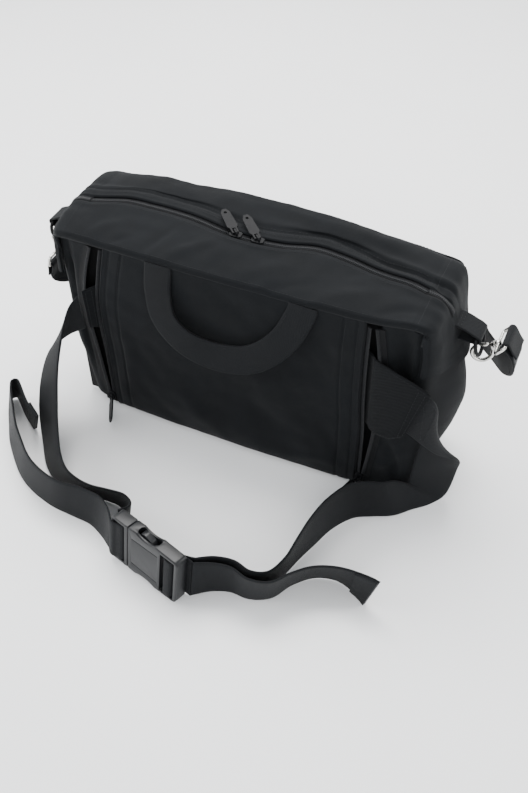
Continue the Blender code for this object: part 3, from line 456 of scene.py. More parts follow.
def sewn(body):
    """The group that stitches on a body's straps go in."""
    return (body + "_strap_stitches", body, "black_webbing", None)


def stitch_row(group, points, out, radius=0.00033):
    """Adds a row of stitches along points, standing on a surface that faces out there."""
    points = np.asarray(points, float)
    out = np.broadcast_to(np.asarray(out, float), points.shape)
    run = distances(points)
    count = int(run[-1] / STITCH_PITCH)
    for s in (np.arange(count) + 0.5) * run[-1] / max(count, 1):
        a, b = (Vector(along_rows(t, run, points)) for t in (s - STITCH_LENGTH / 2, s + STITCH_LENGTH / 2))
        STITCHES.setdefault(group, []).append((a, b, Vector(along_rows(s, run, out)).normalized(), radius))


def make_stitches():
    """One piece for each group: (name, body, slot, blend)."""
    for (name, body, slot, blend), rows in STITCHES.items():
        verts, faces = [], []
        for a, b, normal, radius in rows:
            across = normal.cross((b - a).normalized()).normalized()
            faces += skin(4, 6, len(verts))
            for t, k in ((0.0, 0.25), (0.18, 0.9), (0.82, 0.9), (1.0, 0.25)):
                lift = radius * 0.35 * math.sin(math.pi * t)
                for turn in range(6):
                    angle = math.pi * turn / 3
                    off = across * math.cos(angle) * radius * k + normal * math.sin(angle) * radius * k
                    verts.append(a.lerp(b, t) + off + normal * lift)
        finished(new_piece(name, verts, faces, "thread"), body, slot, blend=blend)


# ---------------------------------------------------------------- the top, between its lip and the back seam

FRONT_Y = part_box("belt_sleeve_panel")[0].y
REAR_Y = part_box("top_rear_flap")[1].y
HALF_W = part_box("front_right_strip")[1].x
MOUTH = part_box("top_front_flap")[1].x
ZIP_Z = (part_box("main_zip_front_half")[0].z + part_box("main_zip_front_half")[1].z) / 2
SEAM_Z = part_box("rear_panel")[1].z + 0.0029
ZIP_EDGE = 0.0054
SLEEVE_ZIP_Y = (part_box("left_zip_inner_half")[0].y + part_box("left_zip_inner_half")[1].y) / 2
CLOTH_THICK = 0.0016

# The main zip's line and the top's heights, for each x along the mouth
main_zip_y = hermite(
    (-0.182, -0.168, -0.146, -0.115, -0.075, -0.018, 0.006, 0.03, 0.065, 0.095, 0.13, 0.168, 0.182),
    (-0.0085, -0.0048, 0.0035, 0.0062, 0.005, -0.0048, -0.0052, -0.002, 0.0088, 0.007, -0.001, -0.0072,
     -0.0105))
main_zip_z = hermite((-0.182, -0.168, -0.12, -0.06, -0.018, 0.006, 0.05, 0.1, 0.14, 0.168, 0.182),
                     (0.2488, 0.2497, 0.249, 0.2494, ZIP_Z, ZIP_Z, 0.2488, 0.247, 0.2478, 0.2497, 0.2488))
front_seam_z = hermite((-0.21, -0.1, 0.0, 0.1, 0.15, 0.182, 0.21),
                       [SEAM_Z + rise for rise in (0.001, 0, -0.001, 0.001, 0.0035, 0.0085, 0.01)])
ridge_z = hermite((-0.21, -0.182, -0.15, -0.08, 0.0, 0.08, 0.14, 0.182, 0.21),
                  (0.244, 0.248, 0.252, 0.2562, 0.2585, 0.256, 0.2515, 0.2465, 0.242))

# The sleeve zips' lines, and how far their slots gape, for each z up the front
left_zip_x = hermite((0.0, 0.05, 0.09, 0.13, 0.16, 0.195, 0.236),
                     (-0.158, -0.158, -0.1588, -0.1608, -0.16, -0.154, -0.145))
right_zip_x = hermite((0.0, 0.05, 0.09, 0.13, 0.18, 0.236), (0.148, 0.148, 0.1476, 0.1455, 0.1445, 0.145))
GAPE_AT = (0.0, 0.02, 0.06, 0.13, 0.19, 0.236)
left_slot_gape = hermite(GAPE_AT, (0.0075, 0.009, 0.0125, 0.0165, 0.0185, 0.015))
right_slot_gape = hermite(GAPE_AT, (0.0065, 0.008, 0.012, 0.0175, 0.0165, 0.0095))

# Creases: a line of points, width, depth. On the top in x and y, on the walls and the front in x and z.
TOP_CREASES = (
    (((-0.072, -0.056), (-0.055, -0.038), (-0.03, -0.02)), 0.006, -0.0019),
    (((-0.098, -0.056), (-0.088, -0.036), (-0.078, -0.014)), 0.005, 0.0014),
    (((-0.16, -0.056), (-0.15, -0.04), (-0.13, -0.024)), 0.006, -0.0014),
    (((-0.135, -0.056), (-0.118, -0.044)), 0.004, 0.0014),
    (((0.0, -0.056), (0.022, -0.04), (0.05, -0.026)), 0.008, -0.0017),
    (((0.04, -0.057), (0.062, -0.046), (0.08, -0.036)), 0.005, 0.0013),
    (((0.09, -0.056), (0.112, -0.04), (0.14, -0.03)), 0.007, -0.0016),
    (((0.145, -0.055), (0.165, -0.045), (0.182, -0.042)), 0.005, 0.0016),
    (((0.086, 0.022), (0.118, 0.017), (0.15, 0.01), (0.182, 0.003), (0.198, -0.004), (0.212, -0.018)),
     0.0062, 0.0088),
    (((0.1, 0.036), (0.135, 0.03), (0.168, 0.026)), 0.006, 0.0026),
    (((0.06, 0.05), (0.11, 0.041), (0.15, 0.044)), 0.009, -0.0016),
    (((-0.02, 0.04), (0.02, 0.032), (0.06, 0.034)), 0.008, 0.0015),
    (((-0.15, 0.034), (-0.11, 0.046), (-0.06, 0.044)), 0.008, 0.0013),
)
WALL_CREASES = (
    (((-0.186, 0.236), (-0.188, 0.19), (-0.191, 0.15), (-0.188, 0.11)), 0.0042, 0.008),
    (((-0.18, 0.15), (-0.182, 0.09), (-0.178, 0.03)), 0.005, 0.0042),
    (((0.178, 0.246), (0.18, 0.2), (0.18, 0.15), (0.176, 0.12)), 0.0105, 0.0092),
    (((0.1925, 0.25), (0.1935, 0.205), (0.1955, 0.15), (0.196, 0.1)), 0.003, 0.004),
    (((0.168, 0.085), (0.182, 0.06), (0.19, 0.02)), 0.006, 0.0035),
    (((0.165, 0.04), (0.176, 0.05), (0.186, 0.07)), 0.004, -0.0022),
)
FRONT_CREASES = (
    (((0.0, 0.11), (0.025, 0.08), (0.06, 0.05), (0.085, 0.02)), 0.02, 0.0028),
    (((-0.075, 0.075), (-0.045, 0.045), (-0.01, 0.02)), 0.013, -0.0022),
    (((-0.11, 0.05), (-0.07, 0.02), (-0.05, 0.006)), 0.009, 0.0014),
    (((0.1, 0.09), (0.118, 0.055), (0.124, 0.015)), 0.008, 0.0015),
    (((0.06, 0.016), (0.095, 0.03), (0.125, 0.026)), 0.006, -0.0012),
    (((-0.14, 0.15), (-0.125, 0.1), (-0.128, 0.05)), 0.009, -0.0013),
    (((0.11, 0.215), (0.118, 0.17), (0.116, 0.12)), 0.008, -0.0012),
    (((-0.02, 0.224), (0.01, 0.205), (0.03, 0.19)), 0.009, 0.0012),
    (((0.03, 0.16), (0.07, 0.15), (0.105, 0.16)), 0.012, 0.0014),
)
FRONT_SHARES = np.concatenate((np.linspace(0, 0.16, 9), np.linspace(0.19, 0.9, 22), np.linspace(0.92, 1.0, 7)))
REAR_SHARES = np.concatenate((np.linspace(0, 0.3, 17), np.linspace(0.33, 0.86, 20), np.linspace(0.88, 1.0, 8)))


def top_rows(x, profile, shares, fade_low, fade_high):
    """Points of the top at x, with its folds; they fade out towards the zip and the seam."""
    flat = profile(shares)
    mask = ease(shares / fade_low) * ease((1 - shares) / fade_high)
    y, z = flat[:, 0], flat[:, 1]
    across = np.full(len(y), x)
    lift = relief(across, y, TOP_CREASES, (0.0016, 0.04), (0.0009, 0.016), 1) * mask
    return np.stack((across, y, z + lift), -1)


def front_rows(x):
    """Across the front of the top at x, from the lip over the seam to the zip's edge."""
    seam, zip_y, zip_z = float(front_seam_z(x)), float(main_zip_y(x)), float(main_zip_z(x))
    edge = zip_y - ZIP_EDGE
    rise = zip_z - seam
    lip = FRONT_Y - 0.0034
    profile = hermite((0, 0.05, 0.12, 0.22, 0.5, 0.8, 0.93, 0.97, 1.0), (
        (FRONT_Y - 0.0016, seam - 0.0036), (lip, seam - 0.0006), (lip + 0.0008, seam + 0.0042),
        (lip + 0.0075, seam + 0.0042 + rise * 0.2), (FRONT_Y * 0.5 + edge * 0.5, seam + 0.003 + rise * 0.66),
        (FRONT_Y * 0.2 + edge * 0.8, seam + 0.0016 + rise * 0.94), (edge - 0.0035, zip_z + 0.0019),
        (edge - 0.001, zip_z + 0.0018), (edge, zip_z + 0.0004)))
    return top_rows(x, profile, FRONT_SHARES, 0.1, 0.16)


def rear_rows(x):
    """Across the back of the top at x, from the zip's edge to the back seam."""
    zip_y, zip_z, ridge = float(main_zip_y(x)), float(main_zip_z(x)), float(ridge_z(x))
    edge = zip_y + ZIP_EDGE
    bulge = 0.007 * math.sqrt(max(0.0, 1 - (x / 0.215) ** 2))
    profile = hermite((0, 0.03, 0.07, 0.2, 0.235, 0.27, 0.5, 0.72, 0.88, 0.95, 1.0), (
        (edge, zip_z + 0.0004), (edge + 0.001, zip_z + 0.0019), (edge + 0.003, zip_z + 0.0021),
        (edge + 0.011, zip_z + 0.002), (edge + 0.0128, zip_z + 0.0009), (edge + 0.015, zip_z + 0.0017),
        (0.5 * edge + 0.5 * REAR_Y - 0.004, zip_z * 0.45 + ridge * 0.55 + 0.001), (REAR_Y - 0.01, ridge),
        (REAR_Y + 0.2 * bulge, ridge - 0.005), (REAR_Y + 0.6 * bulge, SEAM_Z + 0.0055), (REAR_Y + 0.0004, SEAM_Z)))
    return top_rows(x, profile, REAR_SHARES, 0.34, 0.1)


def make_top():
    xs = np.linspace(-MOUTH, MOUTH, 125)
    front, rear = (np.array([rows(x) for x in xs]) for rows in (front_rows, rear_rows))
    tuck = np.array([[(x, REAR_Y - 0.0022, SEAM_Z - 0.003), (x, REAR_Y - 0.0024, SEAM_Z - 0.0085)] for x in xs])
    up, back = (0, 0, 1), (0, 0.8, 0.6)
    for name, rows, cloth, shares, hinge, seams in (
            ("front", front, front, FRONT_SHARES, ((0, FRONT_Y - 0.003, SEAM_Z), (0, FRONT_Y + 0.008, SEAM_Z + 0.006)),
             ((0.16, (0, -0.6, 0.8)), (0.9, up))),
            ("rear", rear, np.concatenate((rear, tuck), axis=1), REAR_SHARES,
             ((0, REAR_Y + 0.003, SEAM_Z), (0, REAR_Y - 0.008, SEAM_Z + 0.006)),
             ((0.13, up), (0.19, up), (0.281, up), (0.9, back)))):
        flap = "top_%s_flap" % name
        obj = grid_piece("top_%s_cloth" % name, cloth, "cloth", CLOTH_THICK, up)
        for share, out in seams:
            row = rows[2:-2, int(np.argmin(np.abs(shares - share)))]
            stitch_row((name + "_flap_stitches", flap, "bag_cloth", hinge), row, out)
        finished(obj, flap, "bag_cloth", flap, blend=hinge)


# ---------------------------------------------------------------- hoods at the ends of the top

HOOD_AT = (0, 0.14, 0.28, 0.42, 0.56, 0.72, 0.88, 1.0)
hood_out = hermite(HOOD_AT, (0.0, 0.0085, 0.016, 0.0212, 0.024, 0.0258, 0.0268, 0.0272))
hood_drop = hermite(HOOD_AT, (0.0, 0.012, 0.044, 0.11, 0.22, 0.41, 0.71, 1.0))
HOOD_CORNER = 0.016
SIDE_SWELL = {-1: 0.006, 1: 0.031}


def hood_points(side, w, y, z, hem):
    """One row of the hood at a share w of the way from the mouth, over the end and down to its hem."""
    low, high = FRONT_Y - 0.003, REAR_Y + 0.004
    near = np.maximum(0, np.maximum(low + HOOD_CORNER - y, y - (high - HOOD_CORNER))) / HOOD_CORNER
    back = HOOD_CORNER * (1 - np.sqrt(np.clip(1 - np.clip(near, 0, 1) ** 2, 0, 1))) * float(ease(w / 0.75))
    x = MOUTH + float(hood_out(w)) - back * 0.85
    return np.stack((side * x, y * (1 - 0.035 * float(ease(w))), z - (z - hem) * float(hood_drop(w))), -1)


def end_swell(side, y, z):
    """How far the bag's end wall bellies out at (y, z)."""
    up = np.sin(np.pi * np.clip(z / SEAM_Z, 0, 1)) ** 1.3
    return SIDE_SWELL[side] * hump((y - FRONT_Y) / (REAR_Y - FRONT_Y)) ** 1.4 * up


def make_hood(side, name):
    x0 = side * MOUTH
    middle = (x0, float(main_zip_y(x0)), float(main_zip_z(x0)) - 0.0008)
    row = np.concatenate((front_rows(x0), [middle], rear_rows(x0)))
    y, z = row[:, 1], row[:, 2]
    across = (y - y.min()) / (y.max() - y.min())
    hem = 0.1815 + 0.004 * np.cos(2 * np.pi * across) + 0.006 * across
    rows = []
    for w in np.concatenate(([0.0], np.linspace(0.03, 1.0, 40))):
        points = hood_points(side, w, y, z, hem)
        fade = float(ease(w / 0.2))
        slack = (0.0012 * rough_field(points, 0.03, 5) + 0.0005 * rough_field(points, 0.013, 6)) * fade
        fold = folds(points[:, 0], points[:, 1], TOP_CREASES, 1 - float(ease((w - 0.35) / 0.4)))
        points[:, 2] += fold * fade * 0.8 + slack * 0.6
        points[:, 0] += side * (slack * 0.9 + end_swell(side, points[:, 1], points[:, 2]) * float(ease(w / 0.8)))
        rows.append(points)
    rows = np.array(rows)
    finished(grid_piece(name + "_hood_cloth", rows, "cloth", CLOTH_THICK, (side, 0, 1)), "bag", "bag_cloth",
             "top_%s_gusset" % name)
    out = np.cross(np.gradient(rows, axis=0), np.gradient(rows, axis=1)) * -side
    for k in (3, -2, -4):
        stitch_row(sewn("bag"), rows[k, 2:-2], unit(out[k, 2:-2]))
    return rows


# ---------------------------------------------------------------- walls of the bag

CORNER = 0.015
FOOT_TUCK, FOOT_RISE = 0.0075, 0.013
LEFT_FOOT_IN = 0.013
REAR_SWELL = 0.0095
FOOT_Z = 0.0008


def shell_ring(z):
    """The wall's plan at a height, from the left slot round the back to the right slot, with outward directions."""
    tuck = FOOT_TUCK * max(0.0, 1 - z / FOOT_RISE) ** 2
    east, front, rear, r = HALF_W - tuck, FRONT_Y + tuck, REAR_Y - tuck, CORNER
    west = -(east - LEFT_FOOT_IN * (1 - float(ease(z / 0.11))))
    left = float(left_zip_x(z)) - float(left_slot_gape(z))
    right = float(right_zip_x(z)) + float(right_slot_gape(z))
    points, out = [], []
    for i, (p, q, count, normal) in enumerate((((left, front), (west + r, front), 12, (0, -1)),
                                               ((west, front + r), (west, rear - r), 22, (-1, 0)),
                                               ((west + r, rear), (east - r, rear), 90, (0, 1)),
                                               ((east, rear - r), (east, front + r), 22, (1, 0)),
                                               ((east - r, front), (right, front), 12, (0, -1)))):
        for t in np.linspace(0, 1, count, endpoint=False):
            points.append((p[0] + (q[0] - p[0]) * t, p[1] + (q[1] - p[1]) * t))
            out.append(normal)
        for k in range(7 if i < 4 else 0):
            angle = math.radians(270 - 90 * i - 90 * k / 7)
            out.append((math.cos(angle), math.sin(angle)))
            points.append((q[0] - normal[0] * r + r * out[-1][0], q[1] - normal[1] * r + r * out[-1][1]))
    return np.array(points + [(right, front)]), np.array(out + [(0, -1)])


def shell_swell(points, out, z):
    """How far the wall stands out of its plan: the end and back walls belly, the front strips fold."""
    x, y = points[:, 0], points[:, 1]
    side = np.where(x < 0, end_swell(-1, y, z), end_swell(1, y, z)) * np.abs(out[:, 0]) ** 2
    rear = REAR_SWELL * hump((x + HALF_W) / (2 * HALF_W)) ** 0.6 * np.clip(out[:, 1], 0, 1) ** 2
    up = math.sin(math.pi * min(max(z / SEAM_Z, 0), 1)) ** 1.3
    return side + rear * up + folds(x, np.full(len(x), z), WALL_CREASES) * np.clip(-out[:, 1], 0, 1) ** 2


def make_shell():
    rings = []
    for z in np.concatenate((np.linspace(FOOT_Z, 0.014, 7), np.linspace(0.019, SEAM_Z, 44))):
        points, out = shell_ring(z)
        place = np.stack((points[:, 0], points[:, 1], np.full(len(points), z)), -1)
        calm = min(1.0, z / 0.02, max(0.15, (SEAM_Z - z) / 0.02))
        edge = np.minimum(np.arange(len(points)), np.arange(len(points))[::-1]) / 4.0
        slack = 0.0021 * rough_field(place * (1, 1, 0.8), 0.055, 11) + 0.0008 * rough_field(place, 0.02, 12)
        swell = shell_swell(points, out, z) + slack * calm * np.clip(edge, 0.15, 1)
        place[:, :2] += out * swell[:, None]
        rings.append(place)
    obj = grid_piece("bag_shell_cloth", np.transpose(np.array(rings), (1, 0, 2)), "cloth", CLOTH_THICK,
                     lambda p: Vector((p.x / HALF_W, p.y / REAR_Y, 0)))
    finished(obj, "bag", "bag_cloth", "front_left_strip", "front_right_strip", "left_side_panel", "right_side_panel",
             "rear_panel")


def make_bottom():
    """The flat underside, tucked in under the walls."""
    points = shell_ring(FOOT_Z)[0]
    rows = [np.stack((points[:, 0] * (0.02 + 0.98 * t), points[:, 1] * (0.02 + 0.98 * t),
                      np.full(len(points), 0.0018 - 0.0007 * hump(t))), -1) for t in np.linspace(1.0, 0.0, 9)]
    obj = grid_piece("bag_bottom_cloth", np.transpose(np.array(rows), (1, 0, 2)), "cloth", 0.0014, (0, 0, -1),
                     closed=True, offset=0.0)
    finished(obj, "bag", "bag_cloth", "bottom_panel")


def make_board():
    """The stiff insert on the bag's floor."""
    low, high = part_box("base_board")
    left = low.x + LEFT_FOOT_IN
    corners = [(left, low.y), (high.x, low.y), (high.x, high.y), (left, high.y)]
    obj = new_piece("base_board_body", *prism(rounded(corners, 0.014), low.z, high.z), "board", sharp=0)
    finished(smoothed(round_edges(obj, 0.0006), 32), "bag", "stiff_board", "base_board")


def make_inner_wall():
    """The wall between the belt sleeve and the bag's inside, seen through the slots and the open mouth."""
    low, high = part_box("front_wall")
    x, z = np.meshgrid(np.linspace(low.x, high.x, 60), np.linspace(low.z, high.z, 36), indexing="ij")
    flat = np.stack((x, z, np.zeros_like(x)), -1)
    y = low.y + 0.0004 + 0.0008 * rough_field(flat, 0.06, 21) * hump((x - low.x) / (high.x - low.x))
    obj = grid_piece("inner_wall_cloth", np.stack((x, y, z), -1), "lining", 0.0014)
    finished(obj, "bag", "bag_cloth", "front_wall")


front_belly = hermite((0, 0.012, 0.03, 0.06, 0.1, 0.15, 0.2, 0.236),
                      (0.002, 0.0068, 0.009, 0.0078, 0.005, 0.0035, 0.002, 0.0005))
SLEEVE_SEAMS = (0.008, 0.022)
ZIP_MARGIN = 0.0046
PANEL_TOP = 0.2345


def make_front_panel():
    """The panel over the belt sleeve, from one sleeve zip to the other."""
    shares = np.concatenate(([0, 0.002, 0.006, 0.012], np.linspace(0.018, 0.1, 28), np.linspace(0.112, 0.888, 80),
                             np.linspace(0.9, 0.982, 28), [0.988, 0.994, 0.998, 1]))
    heights = np.concatenate((np.linspace(0.0006, 0.01, 6), np.linspace(0.014, PANEL_TOP, 66)))
    rows = []
    for s in shares:
        for z in heights:
            left = float(left_zip_x(z)) + ZIP_MARGIN
            wide = float(right_zip_x(z)) - ZIP_MARGIN - left
            x = left + wide * s
            height = z / PANEL_TOP * (float(front_seam_z(x)) - 0.0012)
            belly = float(front_belly(height)) * float(hump(s)) ** 0.5
            edge = min(s, 1 - s) * wide
            roll = 0.0009 * math.exp(-((edge - 0.0015) / 0.0016) ** 2) - 0.0011 * math.exp(-(edge / 0.0007) ** 2)
            tuck = 0.0045 * max(0.0, 1 - height / 0.011) ** 2
            for seam in SLEEVE_SEAMS:
                tuck += 0.0009 * math.exp(-((edge - seam) / 0.0016) ** 2)
            rows.append((x, FRONT_Y - 0.0022 - belly - roll + tuck, height))
    rows = np.array(rows).reshape(len(shares), len(heights), 3)
    mask = ease(np.minimum(shares, 1 - shares) / 0.05)[:, None]
    z_mask = (ease(heights / 0.012) * ease((PANEL_TOP - heights) / 0.015))[None, :]
    lift = relief(rows[:, :, 0], rows[:, :, 2], FRONT_CREASES, (0.0019, 0.06), (0.0009, 0.02), 31)
    rows[:, :, 1] -= lift * mask * z_mask
    obj = grid_piece("front_panel_cloth", rows, "cloth", CLOTH_THICK, (0, -1, 0))
    finished(obj, "bag", "bag_cloth", "belt_sleeve_panel")
    wide = float(right_zip_x(0.12) - left_zip_x(0.12))
    for seam in SLEEVE_SEAMS:
        for share in (seam / wide, 1 - seam / wide):
            stitch_row(sewn("bag"), rows[int(np.argmin(np.abs(shares - share))), 5:-3], (0, -1, 0))


# ---------------------------------------------------------------- zips

TAPE_REACH = 0.0085
# Across a tape: how far out, how high. Along a tooth: how far out, half its width, half its height, its middle.
TAPE_LANES = ((0.0006, -0.0003), (0.0012, 0.0001), (0.003, 0.0001), (0.0034, -0.0003), (TAPE_REACH * 0.7, -0.0005),
              (TAPE_REACH, -0.0006))
TOOTH_PITCH = 0.0019
TOOTH_RINGS = ((-0.0007, 0.00034, 0.00045, 0.0003), (-0.0003, 0.00074, 0.00085, 0.0003),
               (0.0006, 0.00066, 0.00095, 0.0003), (0.0016, 0.00048, 0.0009, 0.0003),
               (0.0026, 0.00048, 0.0008, 0.0002), (0.0031, 0.0003, 0.0004, -0.0001))


def make_zip_half(name, path, side, up, body, *nodes, phase=0.0):
    """One half of a coil zip along path: its flat tape, and a row of teeth. side leads from the line to the tape."""
    side, up = (np.broadcast_to(np.asarray(v, float), path.shape) for v in (side, up))
    tape = np.array([path + side * a + up * b for a, b in TAPE_LANES])
    finished(grid_piece(name + "_tape", np.transpose(tape, (1, 0, 2)), "tape", 0.0007), body, "zip_tape", *nodes)
    run = distances(path)
    verts, faces = [], []
    for s in np.arange(TOOTH_PITCH * (0.5 + phase), run[-1] - TOOTH_PITCH * 0.4, TOOTH_PITCH):
        place, out, lift = (along_rows(s, run, rows) for rows in (path, side, up))
        ahead = along_rows(s + 0.0005, run, path) - place
        along = ahead / max(np.linalg.norm(ahead), 1e-9)
        faces += skin(6, 8, len(verts))
        for a, wide, high, mid in TOOTH_RINGS:
            for angle in (math.pi * k / 4 for k in range(8)):
                verts.append(place + out * a + along * wide * math.cos(angle) + lift * (high * math.sin(angle) + mid))
    finished(new_piece(name + "_teeth", verts, faces, "coil"), body, "zip_tape")


def make_zips(hoods):
    path = np.array([(x, float(main_zip_y(x)), float(main_zip_z(x)) - 0.0004) for x in np.linspace(-MOUTH, MOUTH, 180)])
    across = np.cross((0, 0, 1), unit(np.gradient(path, axis=0)))
    for name, way, phase in (("front", -1, 0.0), ("rear", 1, 0.5)):
        make_zip_half("main_zip_" + name, path, across * way, (0, 0, 1), "top_%s_flap" % name,
                      "main_zip_%s_half" % name, phase=phase)
    middle = len(FRONT_SHARES)
    for name, side, share in (("left", -1, 0.56), ("right", 1, 0.62)):
        rows = hoods[side][:int(len(hoods[side]) * share)]
        path = rows[:, middle]
        along = unit(np.gradient(path, axis=0))
        up = unit(np.cross(along, rows[:, middle + 2] - rows[:, middle - 2]) * side)
        for half, way, phase in (("a", 1, 0.0), ("b", -1, 0.5)):
            make_zip_half("%s_hood_zip_%s" % (name, half), path + up * 0.0012, np.cross(up, along) * way, up, "bag",
                          phase=phase)
    for name, side, line, gape in (("left", -1, left_zip_x, left_slot_gape),
                                   ("right", 1, right_zip_x, right_slot_gape)):
        for half, way, phase in (("inner", -side, 0.5), ("outer", side, 0.0)):
            path = np.array([(float(line(z)) + (-side * 0.0004 if half == "inner" else side * (float(gape(z)) - 0.006)),
                              SLEEVE_ZIP_Y + 0.001, z) for z in np.linspace(0.005, 0.231, 120)])
            make_zip_half("%s_zip_%s" % (name, half), path, (way, 0, 0), (0, -1, 0), "bag",
                          "%s_zip_%s_half" % (name, half), phase=phase)


# ---------------------------------------------------------------- webbing

class Web:
    """A strap along a route, with its rows kept so that stitches and hems can be put on it."""

    def __init__(self, route, width, thick, step, cup=0.0):
        rows = np.array([(m, np.array(a, float) / np.linalg.norm(a)) for m, a in route], float)
        rows = np.concatenate(([2 * rows[0] - rows[1]], rows, [2 * rows[-1] - rows[-2]]))
        found = []
        for k in range(1, len(route)):
            count = max(1, round(float(np.linalg.norm(rows[k + 1, 0] - rows[k, 0])) / step))
            found += [catmull(*rows[k - 1:k + 3], i / count) for i in range(count)]
        found = np.array(found + [rows[-2]])
        self.mid, self.cross = found[:, 0], unit(found[:, 1])
        self.face = unit(np.cross(unit(np.gradient(self.mid, axis=0)), self.cross))
        widths = width if np.ndim(width) else [width] * len(route)
        self.width = np.interp(np.linspace(0, 1, len(found)), np.linspace(0, 1, len(route)), widths)
        self.run = distances(self.mid)
        self.thick, self.cup = thick, cup

    def point(self, i, a, off):
        """At row i, a share a of the width from the middle, off out of the face."""
        lift = off + self.cup * (0.25 - a * a) * 4 * self.width[i] / 0.05
        return self.mid[i] + self.cross[i] * self.width[i] * a + self.face[i] * lift

    def piece(self, name, look="webbing", waver=0.0005):
        upper = [(a, 1) for a in np.linspace(-0.478, 0.478, 13)]
        upper += [(0.492, 0.75), (0.5, 0.3), (0.5, -0.3), (0.492, -0.75)]
        lanes = upper + [(-a, -h) for a, h in upper]
        n = len(self.mid)
        wave = rough_field([self.point(i, a, 0) for i in range(n) for a in (-0.5, 0.5)], 0.035, len(name))
        wave = wave.reshape(n, 2) * waver
        verts, uvs = [], []
        for i in range(n):
            for a, h in lanes:
                sway = wave[i, 0] * (0.5 - a) + wave[i, 1] * (0.5 + a)
                verts.append(self.point(i, a, self.thick / 2 * h + sway))
                uvs.append((self.run[i], a * self.width[i] + (0.0 if h > 0 else 0.003)))
        self.obj = new_piece(name, verts, skin(n, len(lanes)), look, uvs, sharp=55)
        return self.obj

    def rows(self, start, end):
        return [i for i in range(len(self.run)) if start <= self.run[i] <= end]

    def line(self, start, end, a, side, last=None):
        """Points and outward directions from start to end metres, at share a across, or from a to last, on one face."""
        pick = self.rows(start, end)
        shares = np.linspace(a, a if last is None else last, len(pick))
        return np.array([self.point(i, s, side * self.thick / 2) for i, s in zip(pick, shares)]), self.face[pick] * side

    def bar(self, at, side, reach=0.42):
        """A row across the web at a distance along it."""
        i = int(np.argmin(np.abs(self.run - at)))
        points = np.array([self.point(i, a, side * self.thick / 2) for a in np.linspace(-reach, reach, 24)])
        return points, np.repeat(self.face[i:i + 1] * side, len(points), 0)

    def length(self):
        return float(self.run[-1])


def box_stitch(web, start, end):
    """A sewn box with a cross in it on both faces of a web."""
    group, reach = sewn("bag"), 0.42
    for side in (-1, 1):
        for a in (-reach, reach):
            stitch_row(group, *web.line(start, end, a, side))
        for at in (start, end):
            stitch_row(group, *web.bar(at, side))
        for a in (reach, -reach):
            stitch_row(group, *web.line(start, end, a, side, -a))


def table(text):
    return [tuple(float(n) for n in row.split()) for row in text.split(",")]


def route(text):
    """A strap's rows: each one's middle in millimetres, then the way its width goes."""
    return [((x / 1000, y / 1000, z / 1000), across) for x, y, z, *across in table(text)]


HANDLE_ROUTE = route(
    "-77.5 -59.2 234.5 1 0 0, -77.5 -60.5 229 1 0 0, -77.5 -65 205 1 0 0.15, -68 -74 178 0.88 0.05 0.45, "
    "-42 -79 159 0.5 0.2 0.85, -5 -79 153 0 0.38 0.92, 33 -77 164 -0.5 0.3 0.8, 62 -69 193 -0.88 0.05 0.45, "
    "77 -60.5 229 -1 0 0.05, 77 -59.2 234.5 -1 0 0.05")
RIGHT_WING_ROUTE = route(
    "100 -50 146 0 0 1, 136 -50.2 146 0 0 1, 145.5 -52.5 146.5 0 0 1, 151.2 -57.5 147 0 0 1, "
    "156.5 -63.5 148 0 0.03 1, 179 -70.5 148 0.08 0.08 0.99, 201.5 -70.5 146.5 0.28 0.14 0.95")
LEFT_WING_ROUTE = route(
    "-100 -50 148 0 0 1, -146 -50.2 148 0 0 1, -156.5 -52.8 148 0 0 1, -164 -58.5 148 0 0 1, "
    "-171 -64.5 147 0 -0.05 1")
RIGHT_STRAP_ROUTE = route(
    "190 -67.2 147 0.18 0.12 0.97, 205 -67.2 143 0.3 0.18 0.94, 220 -59 118 -0.05 0.1 0.99, "
    "226 -46 85 -0.72 -0.25 0.6, 223.6 -42.4 48 -0.82 -0.5 0.15, 220.2 -48 20 -0.75 -0.42 0.5, "
    "212 -60 21.5 -0.62 -0.26 0.74, 200 -71 24.5 -0.48 -0.12 0.87, 188 -83 25.5 -0.33 0.02 0.94, "
    "170 -91 25.5 -0.28 0.07 0.95, 153 -102 25.8 -0.2 0.05 0.97, 139 -126 26 -0.15 -0.04 0.98, "
    "131 -154 26 -0.08 -0.1 0.98, 126 -180 26 0.02 -0.2 0.98, 122 -202 25.5 0.1 -0.24 0.96, "
    "114 -224 25.6 0.1 -0.2 0.97, 98 -234 25.8 0.08 -0.08 0.99, 79 -232 26 0.1 0 0.99, "
    "60 -238 26.5 0.08 0.08 0.99")
RIGHT_TAIL_ROUTE = route(
    "62 -244 26.5 0.08 0.04 0.99, 80 -239 26 0.08 -0.05 0.99, 100 -241 25.8 0.06 -0.15 0.98, "
    "120 -233 25.5 0.08 -0.24 0.96, 133 -214 25.2 0.1 -0.32 0.94, 151 -197 25 0.06 -0.36 0.93, "
    "174 -190 25 0.06 -0.3 0.95, 200 -193 25 0.18 -0.1 0.95, 211 -197 25 0.25 0 0.95")
LEFT_STRAP_ROUTE = route(
    "-174.5 -68 145 0.02 -0.1 0.99, -189 -76 132 0.26 -0.12 0.95, -201 -88 108 0.55 -0.12 0.82, "
    "-205 -104 76 0.64 -0.08 0.75, -201 -123 44 0.66 -0.08 0.74, -185 -149 25 0.6 -0.08 0.8, "
    "-164 -176 22.5 0.56 -0.1 0.82, -144 -192 23.5 0.46 -0.14 0.86, -125 -198 24 0.38 -0.2 0.9, "
    "-106 -198.5 24 0.34 -0.28 0.9, -86 -196 24 0.34 -0.3 0.9, -67 -196 24.5 0.32 -0.26 0.91, "
    "-53 -205 25.5 0.26 -0.16 0.94, -48 -218 28 0.16 0.02 0.98")
